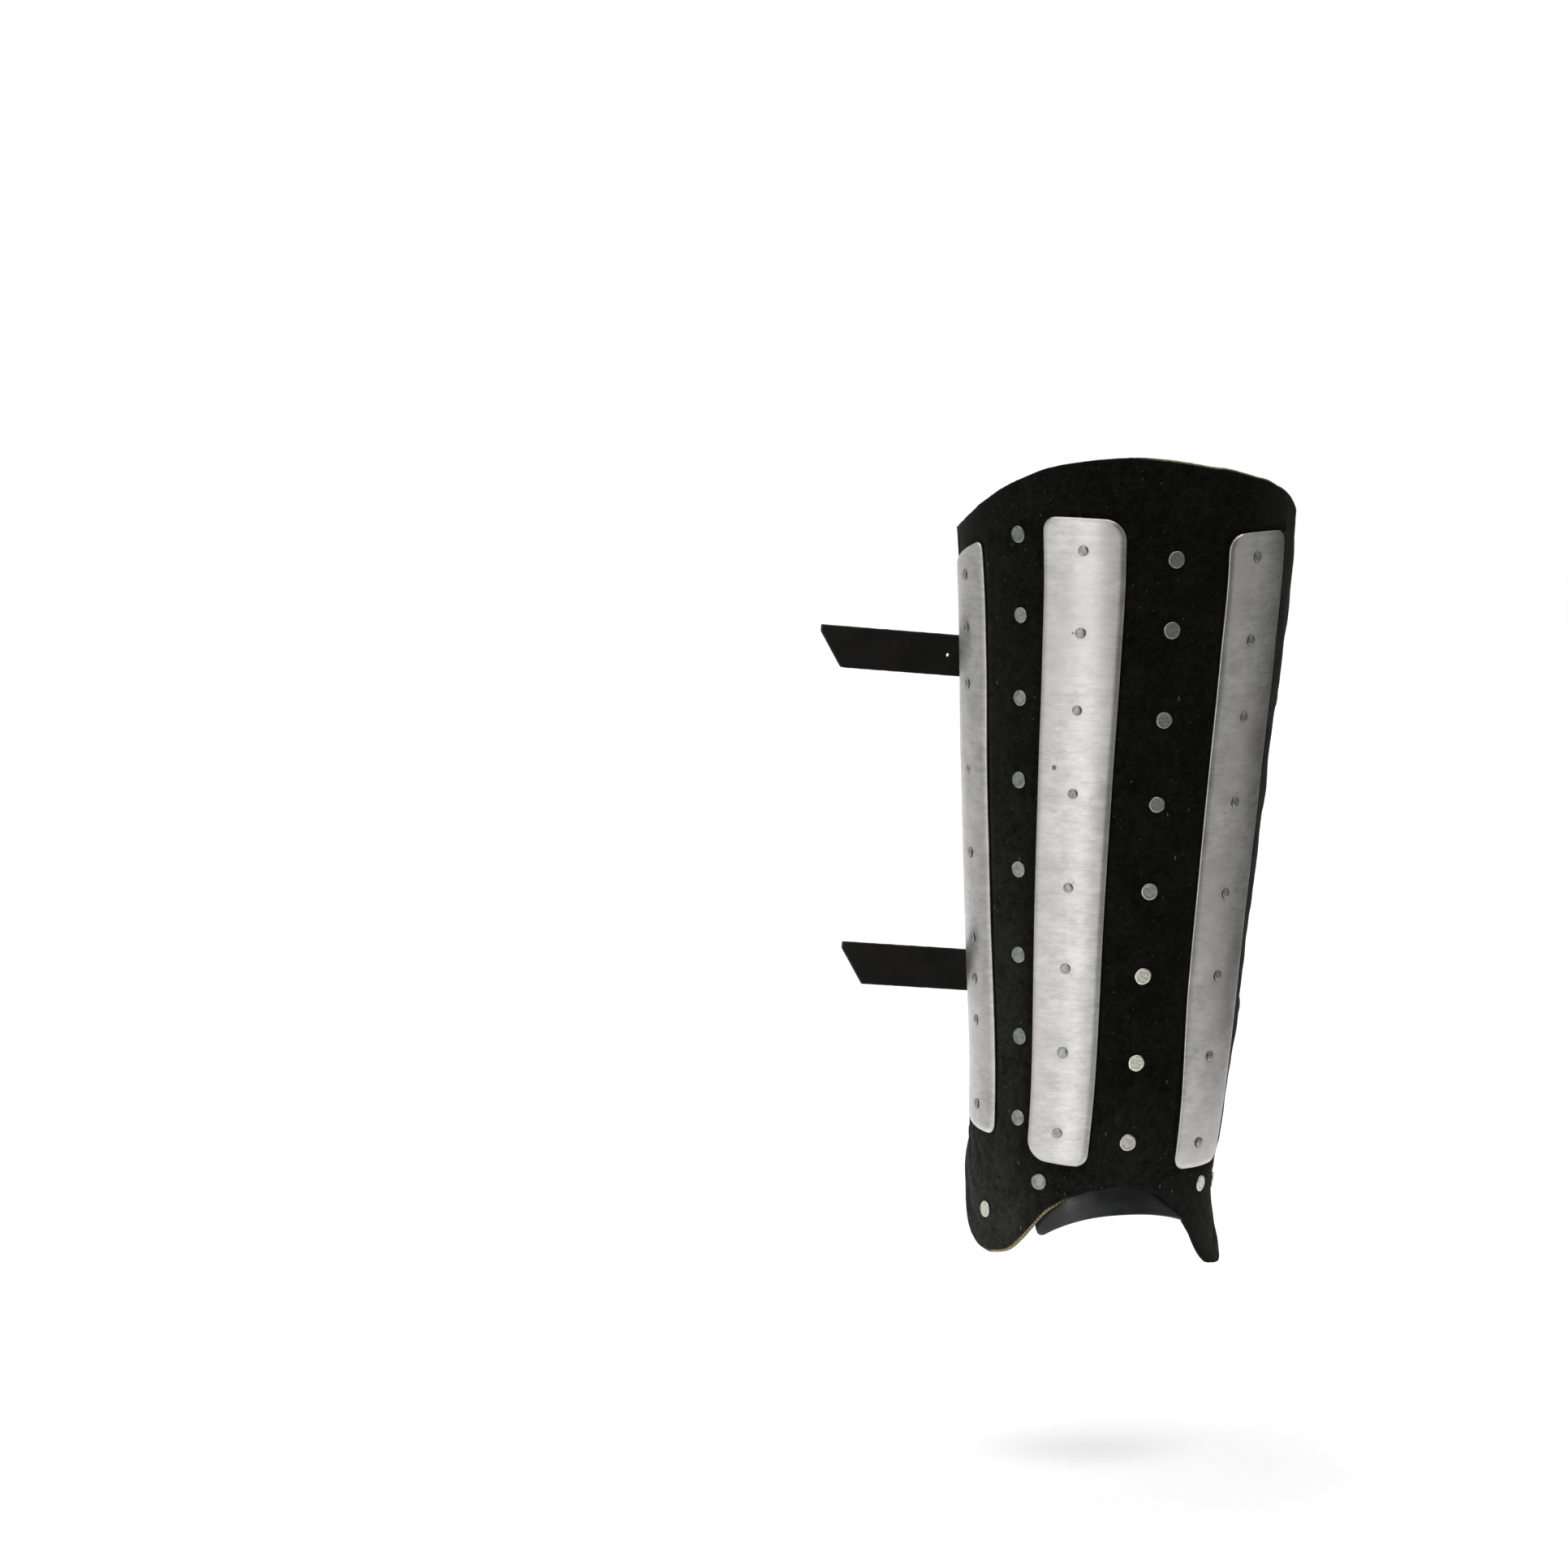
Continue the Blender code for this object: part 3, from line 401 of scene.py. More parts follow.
# Ripples. height, length, seed. Each is so many waves, their lengths spread by these shares.
RIPPLE_WAVES = 11
RIPPLE_SPREAD = (0.7, 1.4)
HIDE_RIPPLES = ((0.00022, 0.045, 3), (0.00009, 0.013, 4))
OUTER_RIPPLES = ((0.0005, 0.036, 8),)
NAP_RIPPLES = ((0.00003, 0.004, 5),)
SPLINT_RIPPLES = tuple(
    ((0.00009, 0.060, seed), (0.000015, 0.018, 51)) for seed in (41, 42, 43)
)
INSTEP_EDGE_RIPPLES = ((0.0004, 0.030, 63),)
INSTEP_RIPPLES = ((0.00012, 0.02, 61),)

# Raggedness of a cut edge. height in metres, length in degrees.
RAGS = ((0.00020, 11.0), (0.00005, 2.4))
TOP_RAG_SEED = 21
BOTTOM_RAG_SEED = 31

# Where the cut edge shows undyed leather, where the nap is worn at the foot and where painted
# sheen lightens the inner side, from and to: angles in degrees, heights in metres.
UPPER_PART = (0.2, 0.25)
OLIVE_FROM, OLIVE_TO = (-2, 14), (60, 68)
TAN_FROM, TAN_TO = (-68, -54), (-24, -6)
FOOT_BAND = (0.01, 0.055)
FOOT_INNER_SIDE = (-60, -15)
FOOT_WEAR, FOOT_INNER_WEAR_AND_SHEEN = 0.25, 0.6
SIDE_SHEEN = 0.5
SIDE_ANGLES = (-48, -30)
SIDE_HEIGHTS = (0.02, 0.32)

# A band is what a pattern's value runs from and to, and where they are given, what it becomes.

# Colours of the suede: its nap, its worn nap, which also serves as painted sheen on the inner
# side, dust and lint, and its cut edge dyed, tan and olive. Each pair runs from dark to light.
NAP_BEND = 0.008
DEEP_NAP, RAISED_NAP = (0.0026, 0.0025, 0.0023), (0.0110, 0.0107, 0.0094)
WORN_NAP_AND_SHEEN = (0.046, 0.048, 0.042)
DUST = (0.080, 0.080, 0.070)
DYED_EDGE = (0.010, 0.0095, 0.0085)
CORD_TAN = ((0.17, 0.135, 0.08), (0.37, 0.30, 0.185))
OLIVE_TAN = ((0.12, 0.11, 0.055), (0.30, 0.28, 0.16))
NAP_BAND = (0.42, 0.60)
WEAR_AND_SHEEN_BAND = (0.38, 0.62, 0.12, 1.0)
WEAR_AND_SHEEN_STRENGTH = 0.75
DUST_BAND = (0.0, 1.0, 0.10, 0.34)
CORD_BAND = (0.1, 0.8)
OLIVE_BAND = (0.4, 0.6)
HEM_UNEVENNESS = (0.35, 0.65, -0.0003, 0.0003)
TAN_HEM_BAND = (0.0010, 0.0005)
OLIVE_HEM_BAND = (0.0005, 0.0001)
NAP_ROUGHNESS_BAND = (0.3, 0.7, 0.84, 1.0)

# Lint on the suede: specks, upright fibres and slanting ones. stretch, cells a metre, size of a
# dot in cells, strength, colour.
LINT = (
    ((1.0, 1.0, 1.0), 300.0, 0.105, 0.48, (0.16, 0.16, 0.14)),
    ((1.0, 1.0, 0.30), 170.0, 0.075, 0.45, (0.22, 0.22, 0.20)),
    ((0.35, 1.0, 1.0), 190.0, 0.070, 0.45, (0.20, 0.20, 0.17)),
)

# Flecks: the full core of a dot as a share of its size, and the chance past which a cell has one.
FLECK_CORE = 0.6
FLECK_CHANCE = (0.55, 0.60)

# Brushing of the steel: fine scratches, strokes, bands, blotches and scuffs. patches a metre
# along the brushing and across it, detail, roughness.
BRUSHING = (
    (400.0, 3600.0, 3.0, 0.6),
    (260.0, 1700.0, 3.0, 0.55),
    (110.0, 420.0, 4.0, 0.6),
    (60.0, 130.0, 4.0, 0.65),
    (300.0, 60.0, 3.0, 0.6),
)
BRIGHT_STEEL, DULL_STEEL = (0.70, 0.692, 0.68), (0.49, 0.485, 0.48)
WARM_SMUDGE = (0.60, 0.555, 0.535)
SCUFFED_STEEL = (0.40, 0.39, 0.38)
HANDLED_STEEL = (0.38, 0.36, 0.35)
PITTED_STEEL = (0.14, 0.12, 0.11)
DARK_MARK = (0.10, 0.085, 0.08)
# Painted shadow in a ring round each rivet head.
PAINTED_RIVET_SHADOW = (0.10, 0.09, 0.085)
TONE_BAND = (0.43, 0.57)
SMUDGE_BAND = (0.48, 0.66, 0.0, 0.55)
SCUFF_BAND = (0.66, 0.76, 0.0, 0.18)
# Ring of painted shadow round each rivet: its unevenness, its band and its patches.
RING_UNEVENNESS = (0.3, 0.7, -0.0004, 0.0004)
RING_BAND = (0.0025, 0.0030, 0.8, 0.0)
RING_PATCHES = (0.35, 0.6, 0.35, 1.0)
HALO_BAND = (0.0028, 0.0060, 0.22, 0.0)
HALO_STREAKS = (0.4, 0.6, 0.2, 1.0)
MARK_UNEVENNESS = (0.3, 0.7, -0.35, 0.35)
MARK_BAND = (0.75, 1.2, 0.9, 0.0)
MARK_HOLLOW = (0.15, 0.6, 0.45, 1.0)
PIT_STRENGTH = 0.6
GLOSS_BAND = (0.40, 0.60, 0.31, 0.40)
DULLER_UPWARDS = (0.10, 0.30, 0.0, 0.06)
FLAT_RIM_BAND = (0.0006, 0.0030, 0.1, 1.0)

# Rivet metals. pale colour, dull colour, wiped colour, roughness.
DULLED_ZINC = ((0.29, 0.315, 0.295), (0.13, 0.145, 0.137), (1.0, 0.985, 0.865), 0.46)
PEENED_STEEL = ((0.44, 0.44, 0.43), (0.20, 0.20, 0.20), (0.60, 0.60, 0.59), 0.38)
# Painted shadow under a rivet head's rim, and how strongly it is laid on.
PAINTED_RIM_SHADOW = (0.02, 0.018, 0.016)
PAINTED_RIM_SHADOW_STRENGTH = 0.95
MOTTLE_BAND = (0.38, 0.60)
WIPED_BAND = (0.0, 1.0, 0.75, 1.0)
RING_INNER_EDGE, RING_OUTER_EDGE = (0.50, 0.58), (0.70, 0.62)
RING_DARKNESS, RING_STRENGTH = 0.5, 0.1
DULL_ROUGHER, PALE_SMOOTHER = 0.10, 0.05

# Smooth leathers. colour, worn colour, roughness, pebbles a metre, shine.
SMOOTH_BLACK = ((0.007, 0.007, 0.0075), (0.011, 0.012, 0.013), 0.31, 900.0, 0.55)
STRAP_BLACK = ((0.007, 0.0065, 0.006), (0.013, 0.012, 0.011), 0.62, 700.0, 0.22)
RUBBED_EDGE = (1.4, 1.35, 1.3)
RUBBED_STRENGTH = 0.5
HANDLED_BAND = (0.35, 0.7)
GLOSSIER, DULLER = 0.08, 0.14

# Camera, floor and light
CAMERA_PLACE = (-0.1612, -3.9702, 0.6960)
CAMERA_PITCH = 7.0
CAMERA_LENS = 186.34
SENSOR_WIDTH = 36.0
CAMERA_FAR = 100.0
FLOOR_HEIGHT = -0.125
FLOOR_CORNERS = ((-1.1, -1.0), (0.5, -0.34), (0.75, 4.0), (-1.15, 4.0), (-0.72, 0.3))

# Brightness of the studio round the part. azimuth from the front, positive to the outer side,
# and strength.
STUDIO = (
    (-180, 0.90),
    (-150, 0.58),
    (-115, 0.44),
    (-75, 0.60),
    (-50, 0.80),
    (-34, 0.90),
    (-26, 0.98),
    (-18, 0.62),
    (-8, 0.44),
    (2, 0.16),
    (22, 0.06),
    (55, 0.14),
    (80, 0.42),
    (100, 0.33),
    (125, 0.09),
    (152, 0.07),
    (165, 0.25),
    (174, 0.80),
    (180, 0.90),
)
CEILING_ENERGY = 2.9
CEILING_SPREAD = 70.0
CEILING_PLACE, CEILING_AIM = (0.0, 0.25, 2.5), (0.0, 0.0, 0.0)
SOFTBOX_ENERGY = 4.2
SOFTBOX_SIZE = (0.7, 0.9)
SOFTBOX_PLACE, SOFTBOX_AIM = (-1.22, -2.5, 0.30), (0.0, 0.0, 0.10)


def smooth(rows, x, column=1):
    """Value at x of a curve through the rows' first and given columns. Each stretch is a cubic
    whose end slopes are harmonic means of the straight slopes beside them."""
    xs = np.array([row[0] for row in rows], float)
    ys = np.array([row[column] for row in rows], float)
    slope = np.diff(ys) / np.diff(xs)
    product = slope[1:] * slope[:-1]
    total = np.where(product > 0, slope[1:] + slope[:-1], 1.0)
    inner = np.where(product > 0, 2 * product / total, 0.0)
    slopes = np.concatenate([slope[:1], inner, slope[-1:]])
    x = np.clip(x, xs[0], xs[-1])
    k = np.clip(np.searchsorted(xs, x) - 1, 0, len(xs) - 2)
    step = xs[k + 1] - xs[k]
    t = (x - xs[k]) / step
    rise = ys[k] * (1 + 2 * t) * (1 - t) ** 2 + ys[k + 1] * t**2 * (3 - 2 * t)
    bend = slopes[k] * t * (1 - t) ** 2 - slopes[k + 1] * t**2 * (1 - t)
    return rise + step * bend


def section(height):
    """Half width and sideways middle of the leg at this height."""
    share = np.asarray(height, float) / CROWN_HEIGHT
    half = smooth(SECTIONS, share, 1) * (TOP_HALF_WIDTH - ANKLE_HALF_WIDTH)
    return ANKLE_HALF_WIDTH + half, ANKLE_SIDE_SET + SIDE_LEAN * smooth(SECTIONS, share, 2)


def unit(vectors):
    """Vectors divided by their own lengths."""
    return vectors / np.linalg.norm(vectors, axis=-1, keepdims=True)


def skin_normal(angle, height):
    """Outward unit normal: the section ellipse's own, leaned back by how fast the section
    grows and moves with height."""
    angle, height = np.broadcast_arrays(np.asarray(angle, float), np.asarray(height, float))
    turn = np.radians(angle)
    depth = np.where(np.cos(turn) < 0, BACK_DEPTH, 1.0)
    flat = unit(np.stack([depth * np.sin(turn), -np.cos(turn)], -1))
    step = SLOPE_SHARE * CROWN_HEIGHT
    high, low = section(height + step), section(height - step)
    growth = (high[0] - low[0]) / (2 * step)
    drift = (high[1] - low[1]) / (2 * step)
    reach = np.sin(turn) * flat[..., 0] - depth * np.cos(turn) * flat[..., 1]
    lean = -(growth * reach + drift * flat[..., 0])
    return unit(np.concatenate([flat, lean[..., None]], -1))


def skin(angle, height, out=0.0):
    """Points at these angles and heights, this far outside the wall's outer face. The section
    is an ellipse: as deep as it is wide in front, and deeper by BACK_DEPTH behind."""
    angle, height = np.broadcast_arrays(np.asarray(angle, float), np.asarray(height, float))
    turn = np.radians(angle)
    half, middle = section(height)
    depth = np.where(np.cos(turn) < 0, BACK_DEPTH, 1.0)
    face = [middle + half * np.sin(turn), -depth * half * np.cos(turn), height]
    return np.stack(face, -1) + np.asarray(out)[..., None] * skin_normal(angle, height)


def top_edge(angle):
    """Height of the wall's top edge: the crown less its drop at this angle."""
    return CROWN_HEIGHT - TOP_EDGE_DROP * smooth(TOP_EDGE, angle)


def bottom_edge(angle):
    """Height of the wall's bottom edge: its rise at this angle above the lowest flap."""
    return ARCH_RISE * smooth(BOTTOM_EDGE, angle) - FLAP_DROP


def line_ends(angles, gaps):
    """Heights of the top and the bottom of a line, measured from the wall's edges."""
    top = top_edge(angles[0]) - TOP_MARGIN * gaps[0]
    return top, bottom_edge(angles[1]) + BOTTOM_MARGIN * gaps[1]


def between(ends, share):
    """Value this share of the way from the second end to the first."""
    return ends[1] + (ends[0] - ends[1]) * share


def ease(value, low, high):
    """0 below low, 1 above high and a smooth cubic between them."""
    t = np.clip((value - low) / (high - low), 0, 1)
    return t * t * (3 - 2 * t)


def window(value, start, stop):
    """1 between two eased borders and 0 outside them."""
    return ease(value, *start) * (1 - ease(value, *stop))


def bump(distance, width):
    """Bell curve of height 1: e to the power of minus the squared distance in widths."""
    return np.exp(-((distance / width) ** 2))


def ripples(points, length, seed):
    """Sum of sine waves in random directions, each about this long, mostly within -1 and 1."""
    random = np.random.default_rng(seed)
    direction = unit(random.normal(size=(RIPPLE_WAVES, points.shape[-1])))
    direction *= 2 * np.pi / length * random.uniform(*RIPPLE_SPREAD, (RIPPLE_WAVES, 1))
    phase = random.uniform(0, 2 * np.pi, RIPPLE_WAVES)
    return np.sin(points @ direction.T + phase).sum(-1) / math.sqrt(RIPPLE_WAVES)


def uneven(points, rows):
    """Sum of ripples, each row giving their height, their length and their seed."""
    return sum(height * ripples(points, length, seed) for height, length, seed in rows)


def find_on_leg(point):
    """Angle and height of the place on the leg whose normal passes through this point: the
    sideways miss is turned into steps of angle and height until none is left."""
    height = float(point[2])
    angle = math.degrees(math.atan2(point[0] - section(height)[1], -point[1]))
    for _ in range(FIND_ROUNDS):
        normal = skin_normal(angle, height)
        miss = point - skin(angle, height)
        miss = miss - (miss @ normal) * normal
        around = unit(skin(angle + FIND_SPAN, height) - skin(angle - FIND_SPAN, height))
        angle += math.degrees((miss @ around) / section(height)[0])
        height += float(miss[2])
    return angle, height


def node_points(name):
    """Points of a solid's mesh, a row for each."""
    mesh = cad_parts[name].data
    points = np.empty(3 * len(mesh.vertices))
    mesh.vertices.foreach_get("co", points)
    return points.reshape(-1, 3)


RIVET_PLACES = {
    name: find_on_leg(node_points(name).mean(0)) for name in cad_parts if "rivet" in name
}


def make_object(name, points, faces, uv, marks, material, slot, nodes):
    """Smooth mesh at the origin that stands for these CAD nodes. uv and marks have a row for
    each point."""
    mesh = bpy.data.meshes.new(name)
    mesh.from_pydata(points.tolist(), [], faces)
    mesh.polygons.foreach_set("use_smooth", np.ones(len(faces), bool))
    corner = np.empty(len(mesh.loops), np.int32)
    mesh.loops.foreach_get("vertex_index", corner)
    layer = mesh.uv_layers.new(name="surface")
    layer.data.foreach_set("uv", uv[corner].astype(np.float32).ravel())
    for mark, values in marks.items():
        kept = mesh.attributes.new(mark, "FLOAT", "POINT")
        kept.data.foreach_set("value", values.astype(np.float32))
    mesh.materials.append(material)
    mesh.update()
    made = add_object(name, mesh)
    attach(made, "root")
    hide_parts(*nodes)
    return made


def closed_wall(face, normal, thickness, bulge, uv, marks, keep=None, steps=5):
    """Points, faces, uv and marks of a closed wall: a grid for the outer face, the same grid
    moved in by the thickness, and round every free border a strip whose profile is half an
    ellipse, as high as the wall is thick and bulging by this much."""
    across, along = face.shape[:2]
    index = np.arange(across * along).reshape(across, along)
    corners = index[:-1, :-1], index[1:, :-1], index[1:, 1:], index[:-1, 1:]
    quads = np.stack([corner.ravel() for corner in corners], -1)
    if keep is not None:
        quads = quads[keep.ravel()]
    points, normal = face.reshape(-1, 3), normal.reshape(-1, 3)
    a, b, d = (points[quads[:, k]] for k in (0, 1, 3))
    if (np.cross(b - a, d - a) * normal[quads[:, 0]]).sum() < 0:
        quads = quads[:, ::-1]
    starts, ends = quads.ravel(), np.roll(quads, -1, axis=1).ravel()
    count = len(points)
    free = ~np.isin(starts * count + ends, ends * count + starts)
    starts, ends = starts[free], ends[free]
    outward = np.cross(points[ends] - points[starts], normal[starts])
    side = np.zeros_like(points)
    np.add.at(side, starts, outward)
    np.add.at(side, ends, outward)
    border = np.unique(starts)
    side = unit(side[border])
    centre = points[border] - normal[border] * thickness / 2
    rings = [points]
    place = np.zeros(count, int)
    place[border] = np.arange(len(border))
    strips, total = [], 2 * count
    outer_ring = border
    for k in range(1, steps + 1):
        turn = math.pi * k / steps
        inner_ring = border + count if k == steps else total + np.arange(len(border))
        s, e = place[starts], place[ends]
        strips.append(np.stack([outer_ring[e], outer_ring[s], inner_ring[s], inner_ring[e]], -1))
        if k < steps:
            lift = normal[border] * math.cos(turn) * thickness / 2
            rings.append(centre + side * math.sin(turn) * bulge + lift)
            total += len(border)
        outer_ring = inner_ring
    rings.insert(1, points - normal * thickness)
    faces = np.concatenate([quads, quads[:, ::-1] + count] + strips)
    points = np.concatenate(rings)
    copies = [np.arange(count)] * 2 + [border] * (steps - 1)
    source = np.concatenate(copies)
    rim = np.concatenate([np.zeros(2 * count), np.ones(len(border) * (steps - 1))])
    inside = np.concatenate([np.zeros(count), np.ones(count), np.zeros(len(rim) - 2 * count)])
    made = {name: values.ravel()[source] for name, values in marks.items()}
    made["rim"], made["inside"] = rim, inside
    used, faces = np.unique(faces, return_inverse=True)
    faces = faces.reshape(-1, 4)
    made = {name: values[used] for name, values in made.items()}
    return points[used], faces.tolist(), uv.reshape(-1, 2)[source][used], made


def splint_distance(angle, height):
    """Distance of places on the leg from the nearest splint's outline, negative under it."""
    nearest = np.full(np.broadcast(angle, height).shape, 1.0)
    half = section(height)[0]
    for _, angles, widths, gaps, _ in SPLINTS:
        ends = line_ends(angles, gaps)
        share = (height - ends[1]) / (ends[0] - ends[1])
        across = np.abs(np.radians(angle - between(angles, share))) * half
        beside = across - SPLINT_WIDTH * between(widths, share) / 2
        past = np.maximum(height - ends[0], ends[1] - height)
        nearest = np.minimum(nearest, np.maximum(beside, past))
    return nearest


def wall_relief(angle, height, points):
    """How far the hide stands out: long and short ripples, pressed flat under the splints and
    swollen beside them, dimpled round the large rivets, creased and flared at the flaps."""
    beside = splint_distance(angle, height)
    bare = ease(beside, *BARE_EDGE)
    relief = uneven(points, HIDE_RIPPLES)
    relief = relief + ease(angle, *OUTER_SIDE) * uneven(points, OUTER_RIPPLES)
    relief = relief * bare + uneven(points, NAP_RIPPLES)
    relief += SWELL_OUT * bump(beside - SWELL_PLACE, SWELL_WIDTH)
    relief -= PRESSED_IN * (1 - ease(beside, *PRESSED_EDGE))
    half = section(height)[0]
    for name in WALL_RIVETS + ARCH_RIVETS:
        place, level = RIVET_PLACES[name]
        apart = np.hypot(np.radians(angle - place) * half, height - level)
        relief -= DIMPLE_DEPTH * bump(apart, DIMPLE_RADIUS)
    above = height - bottom_edge(angle)
    for first, last, low, high, width, rise in CREASES:
        share = np.clip((angle - first) / (last - first), 0, 1)
        start, stop = ((end - CREASE_FADE, end + CREASE_FADE) for end in (first, last))
        level = between((high, low), share)
        relief += rise * window(angle, start, stop) * bump(above - level, width)
    flap = ease(-angle, *INNER_FLAP_SIDE) + ease(angle, *OUTER_FLAP_SIDE)
    relief += FLARE_OUT * flap * (1 - ease(above, 0, FLARE_WIDTH)) * bare
    return relief


def ragged(angle, seed):
    """Small unevenness of a hand-cut edge: ripples along the angle, a seed for each length."""
    line = angle[..., None] * np.array([1.0, 0.0])
    return uneven(line, [(*rag, seed + k) for k, rag in enumerate(RAGS)])


def round_corner(distance):
    """How far an edge draws back at this distance from a rounded corner's side: the corner is
    a quarter circle."""
    near = np.clip(1 - distance / BACK_CORNER_RADIUS, 0, 1)
    return BACK_CORNER_RADIUS * (1 - np.sqrt(1 - near**2))


def make_wall(material):
    """Leather wall: angle runs round the leg and height from the bottom edge to the top edge,
    both eased so that cells are finer at the back corners and at the foot."""
    share = np.linspace(0, 1, WALL_COLUMNS + 1)
    share = share - WALL_CROWDING * np.sin(2 * np.pi * share) / (2 * np.pi)
    angle = INNER_EDGE_ANGLE + (OUTER_EDGE_ANGLE - INNER_EDGE_ANGLE) * share
    top = top_edge(angle) + ragged(angle, TOP_RAG_SEED)
    bottom = bottom_edge(angle) + ragged(angle, BOTTOM_RAG_SEED)
    to_edge = np.minimum(angle - INNER_EDGE_ANGLE, OUTER_EDGE_ANGLE - angle)
    corner = round_corner(np.radians(to_edge) * section(CROWN_HEIGHT / 2)[0])
    rise = np.linspace(0, 1, WALL_ROWS + 1) ** WALL_ROW_SPREAD
    height = (bottom + corner)[:, None] + (top - bottom - 2 * corner)[:, None] * rise
    angle = np.broadcast_to(angle[:, None], height.shape)
    relief = wall_relief(angle, height, skin(angle, height))
    run = np.radians(angle) * section(height)[0]
    upper = ease(height, *UPPER_PART)
    olive = upper * window(angle, OLIVE_FROM, OLIVE_TO)
    tan = (1 - upper) * window(angle, TAN_FROM, TAN_TO)
    hem = np.minimum(height - (bottom + corner)[:, None], (top - corner)[:, None] - height)
    # Worn nap at the foot, made paler still on the inner side and up its flank as painted sheen.
    foot = 1 - ease(height - bottom_edge(angle), *FOOT_BAND)
    foot = foot * (FOOT_WEAR + FOOT_INNER_WEAR_AND_SHEEN * (1 - ease(angle, *FOOT_INNER_SIDE)))
    foot += SIDE_SHEEN * (1 - ease(angle, *SIDE_ANGLES)) * (1 - ease(height, *SIDE_HEIGHTS))
    wall = closed_wall(
        skin(angle, height, relief),
        skin_normal(angle, height),
        WALL_THICKNESS,
        WALL_RIM_BULGE,
        np.stack([run, height], -1),
        {"tan": tan, "olive": olive, "foot": np.clip(foot, 0, 1), "hem": hem},
    )
    make_object("leather_wall", *wall, material, "black_suede", ["shell"])


def corner_fall(distance, radius):
    """How far a quarter circle of this radius has drawn in, this far from the strip's end."""
    back = radius - np.clip(distance, 0, radius)
    return radius - np.sqrt(radius**2 - back**2)


def make_splint(number, material):
    """Steel strip bent round the leg: its middle line runs straight from bottom to top, its
    ends are parabolas and its corners quarter circles. The edge rolls down towards the
    leather as the square of how near the border is."""
    name, angles, widths, gaps, rivets = SPLINTS[number]
    ends = line_ends(angles, gaps)
    length = ends[0] - ends[1]
    turns = np.radians(np.linspace(0, 90, SPLINT_END_STEPS + 1))
    inset = SPLINT_END_REACH * (1 - np.cos(turns))
    middle = np.linspace(inset[-1], length - inset[-1], SPLINT_ROWS + 1)[1:-1]
    along = np.concatenate([inset, middle, length - inset[::-1]])
    share = along / length
    across = np.linspace(-1, 1, SPLINT_COLUMNS + 1)[:, None] * SPLINT_CROWDING * math.pi / 2
    across = np.sin(across) / math.sin(SPLINT_CROWDING * math.pi / 2)
    top, bottom = SPLINT_ENDS[number]
    _, _, top_fall, top_rise, top_short, top_narrow = top
    _, _, bottom_fall, bottom_rise, bottom_short, bottom_narrow = bottom
    wide = SPLINT_WIDTH * between(widths, share) / 2
    at_top, at_bottom = ease(share, *SPLINT_TOP_PART), 1 - ease(share, *SPLINT_BOTTOM_PART)
    sides = [
        wide - corner_fall(length - along, top[side]) - corner_fall(along, bottom[side])
        for side in (0, 1)
    ]
    sides[0] = sides[0] - top_narrow * at_top - bottom_narrow * at_bottom
    beside = np.where(across < 0, across * sides[0], across * sides[1])
    level = beside / wide
    height = ends[1] + along
    height = height + at_top * (top_rise * level - top_fall * level**2 - top_short)
    height = height + at_bottom * (bottom_rise * level + bottom_fall * level**2 + bottom_short)
    radius = section(height)[0]
    middle_angle = between(angles, (height - ends[1]) / length)
    angle = middle_angle + np.degrees(beside / radius)
    to_side = (1 - np.abs(across)) * np.where(across < 0, sides[0], sides[1])
    border = np.minimum(to_side, np.minimum(along, length - along)[None, :])
    points = skin(angle, height)
    out = uneven(points, SPLINT_RIPPLES[number])
    out -= ROLL_DEPTH * np.clip(1 - border / ROLL_WIDTH, 0, 1) ** 2
    nearest = np.full(angle.shape, FARTHEST_RIVET)
    marked = np.full(angle.shape, FARTHEST_MARK)
    places = [RIVET_PLACES[f"{name}_rivet_{k}"] for k in range(1, rivets + 1)]
    for place, at in places:
        apart = np.hypot(np.radians(angle - place) * radius, height - at)
        out -= PULLED_IN * bump(apart, PULL_RADIUS)
        nearest = np.minimum(nearest, apart)
    for splint, aside, rivet, above, size in SPLINT_MARKS:
        if splint == number:
            at = places[rivet - 1][1] + above
            apart = np.hypot(beside - aside, height - at)
            marked = np.minimum(marked, apart / size)
    out += SPLINT_SEAT + SPLINT_THICKNESS
    plate = closed_wall(
        skin(angle, height, out),
        skin_normal(angle, height),
        SPLINT_THICKNESS,
        SPLINT_RIM_BULGE,
        np.stack([beside, height - ends[1]], -1),
        {"border": border, "rivet": nearest, "spot": marked},
    )
    make_object(f"{name}_plate", *plate, material, "brushed_steel", [name])


def turned(profile, steps, wobble, seed):
    """Points and faces of a profile turned round its Z axis, from one pole to the other. The
    radius varies by this share, in slow waves round the turn."""
    random = np.random.default_rng(seed)
    turn = np.linspace(0, 2 * np.pi, steps, endpoint=False)
    shape = np.ones(steps)
    for waves in WOBBLE_WAVES:
        height = wobble * random.uniform(WOBBLE_LEAST, 1.0)
        shape += height * np.cos(waves * turn + random.uniform(0, WOBBLE_TURN))
    rings = np.array(profile[1:-1])
    radius = rings[:, 0, None] * shape
    points = np.stack([
        radius * np.cos(turn),
        radius * np.sin(turn),
        np.broadcast_to(rings[:, 1, None], radius.shape),
    ], -1).reshape(-1, 3)
    index = np.arange(len(points)).reshape(len(rings), steps)
    after = np.roll(index, -1, axis=1)
    quads = np.stack([index[:-1], index[1:], after[1:], after[:-1]], -1).reshape(-1, 4)
    first, last = len(points), len(points) + 1
    first_cap = np.stack([np.full(steps, first), index[0], after[0]], -1)
    last_cap = np.stack([np.full(steps, last), after[-1], index[-1]], -1)
    poles = np.array([[0, 0, profile[0][1]], [0, 0, profile[-1][1]]])
    faces = quads.tolist() + first_cap.tolist() + last_cap.tolist()
    return np.concatenate([points, poles]), faces


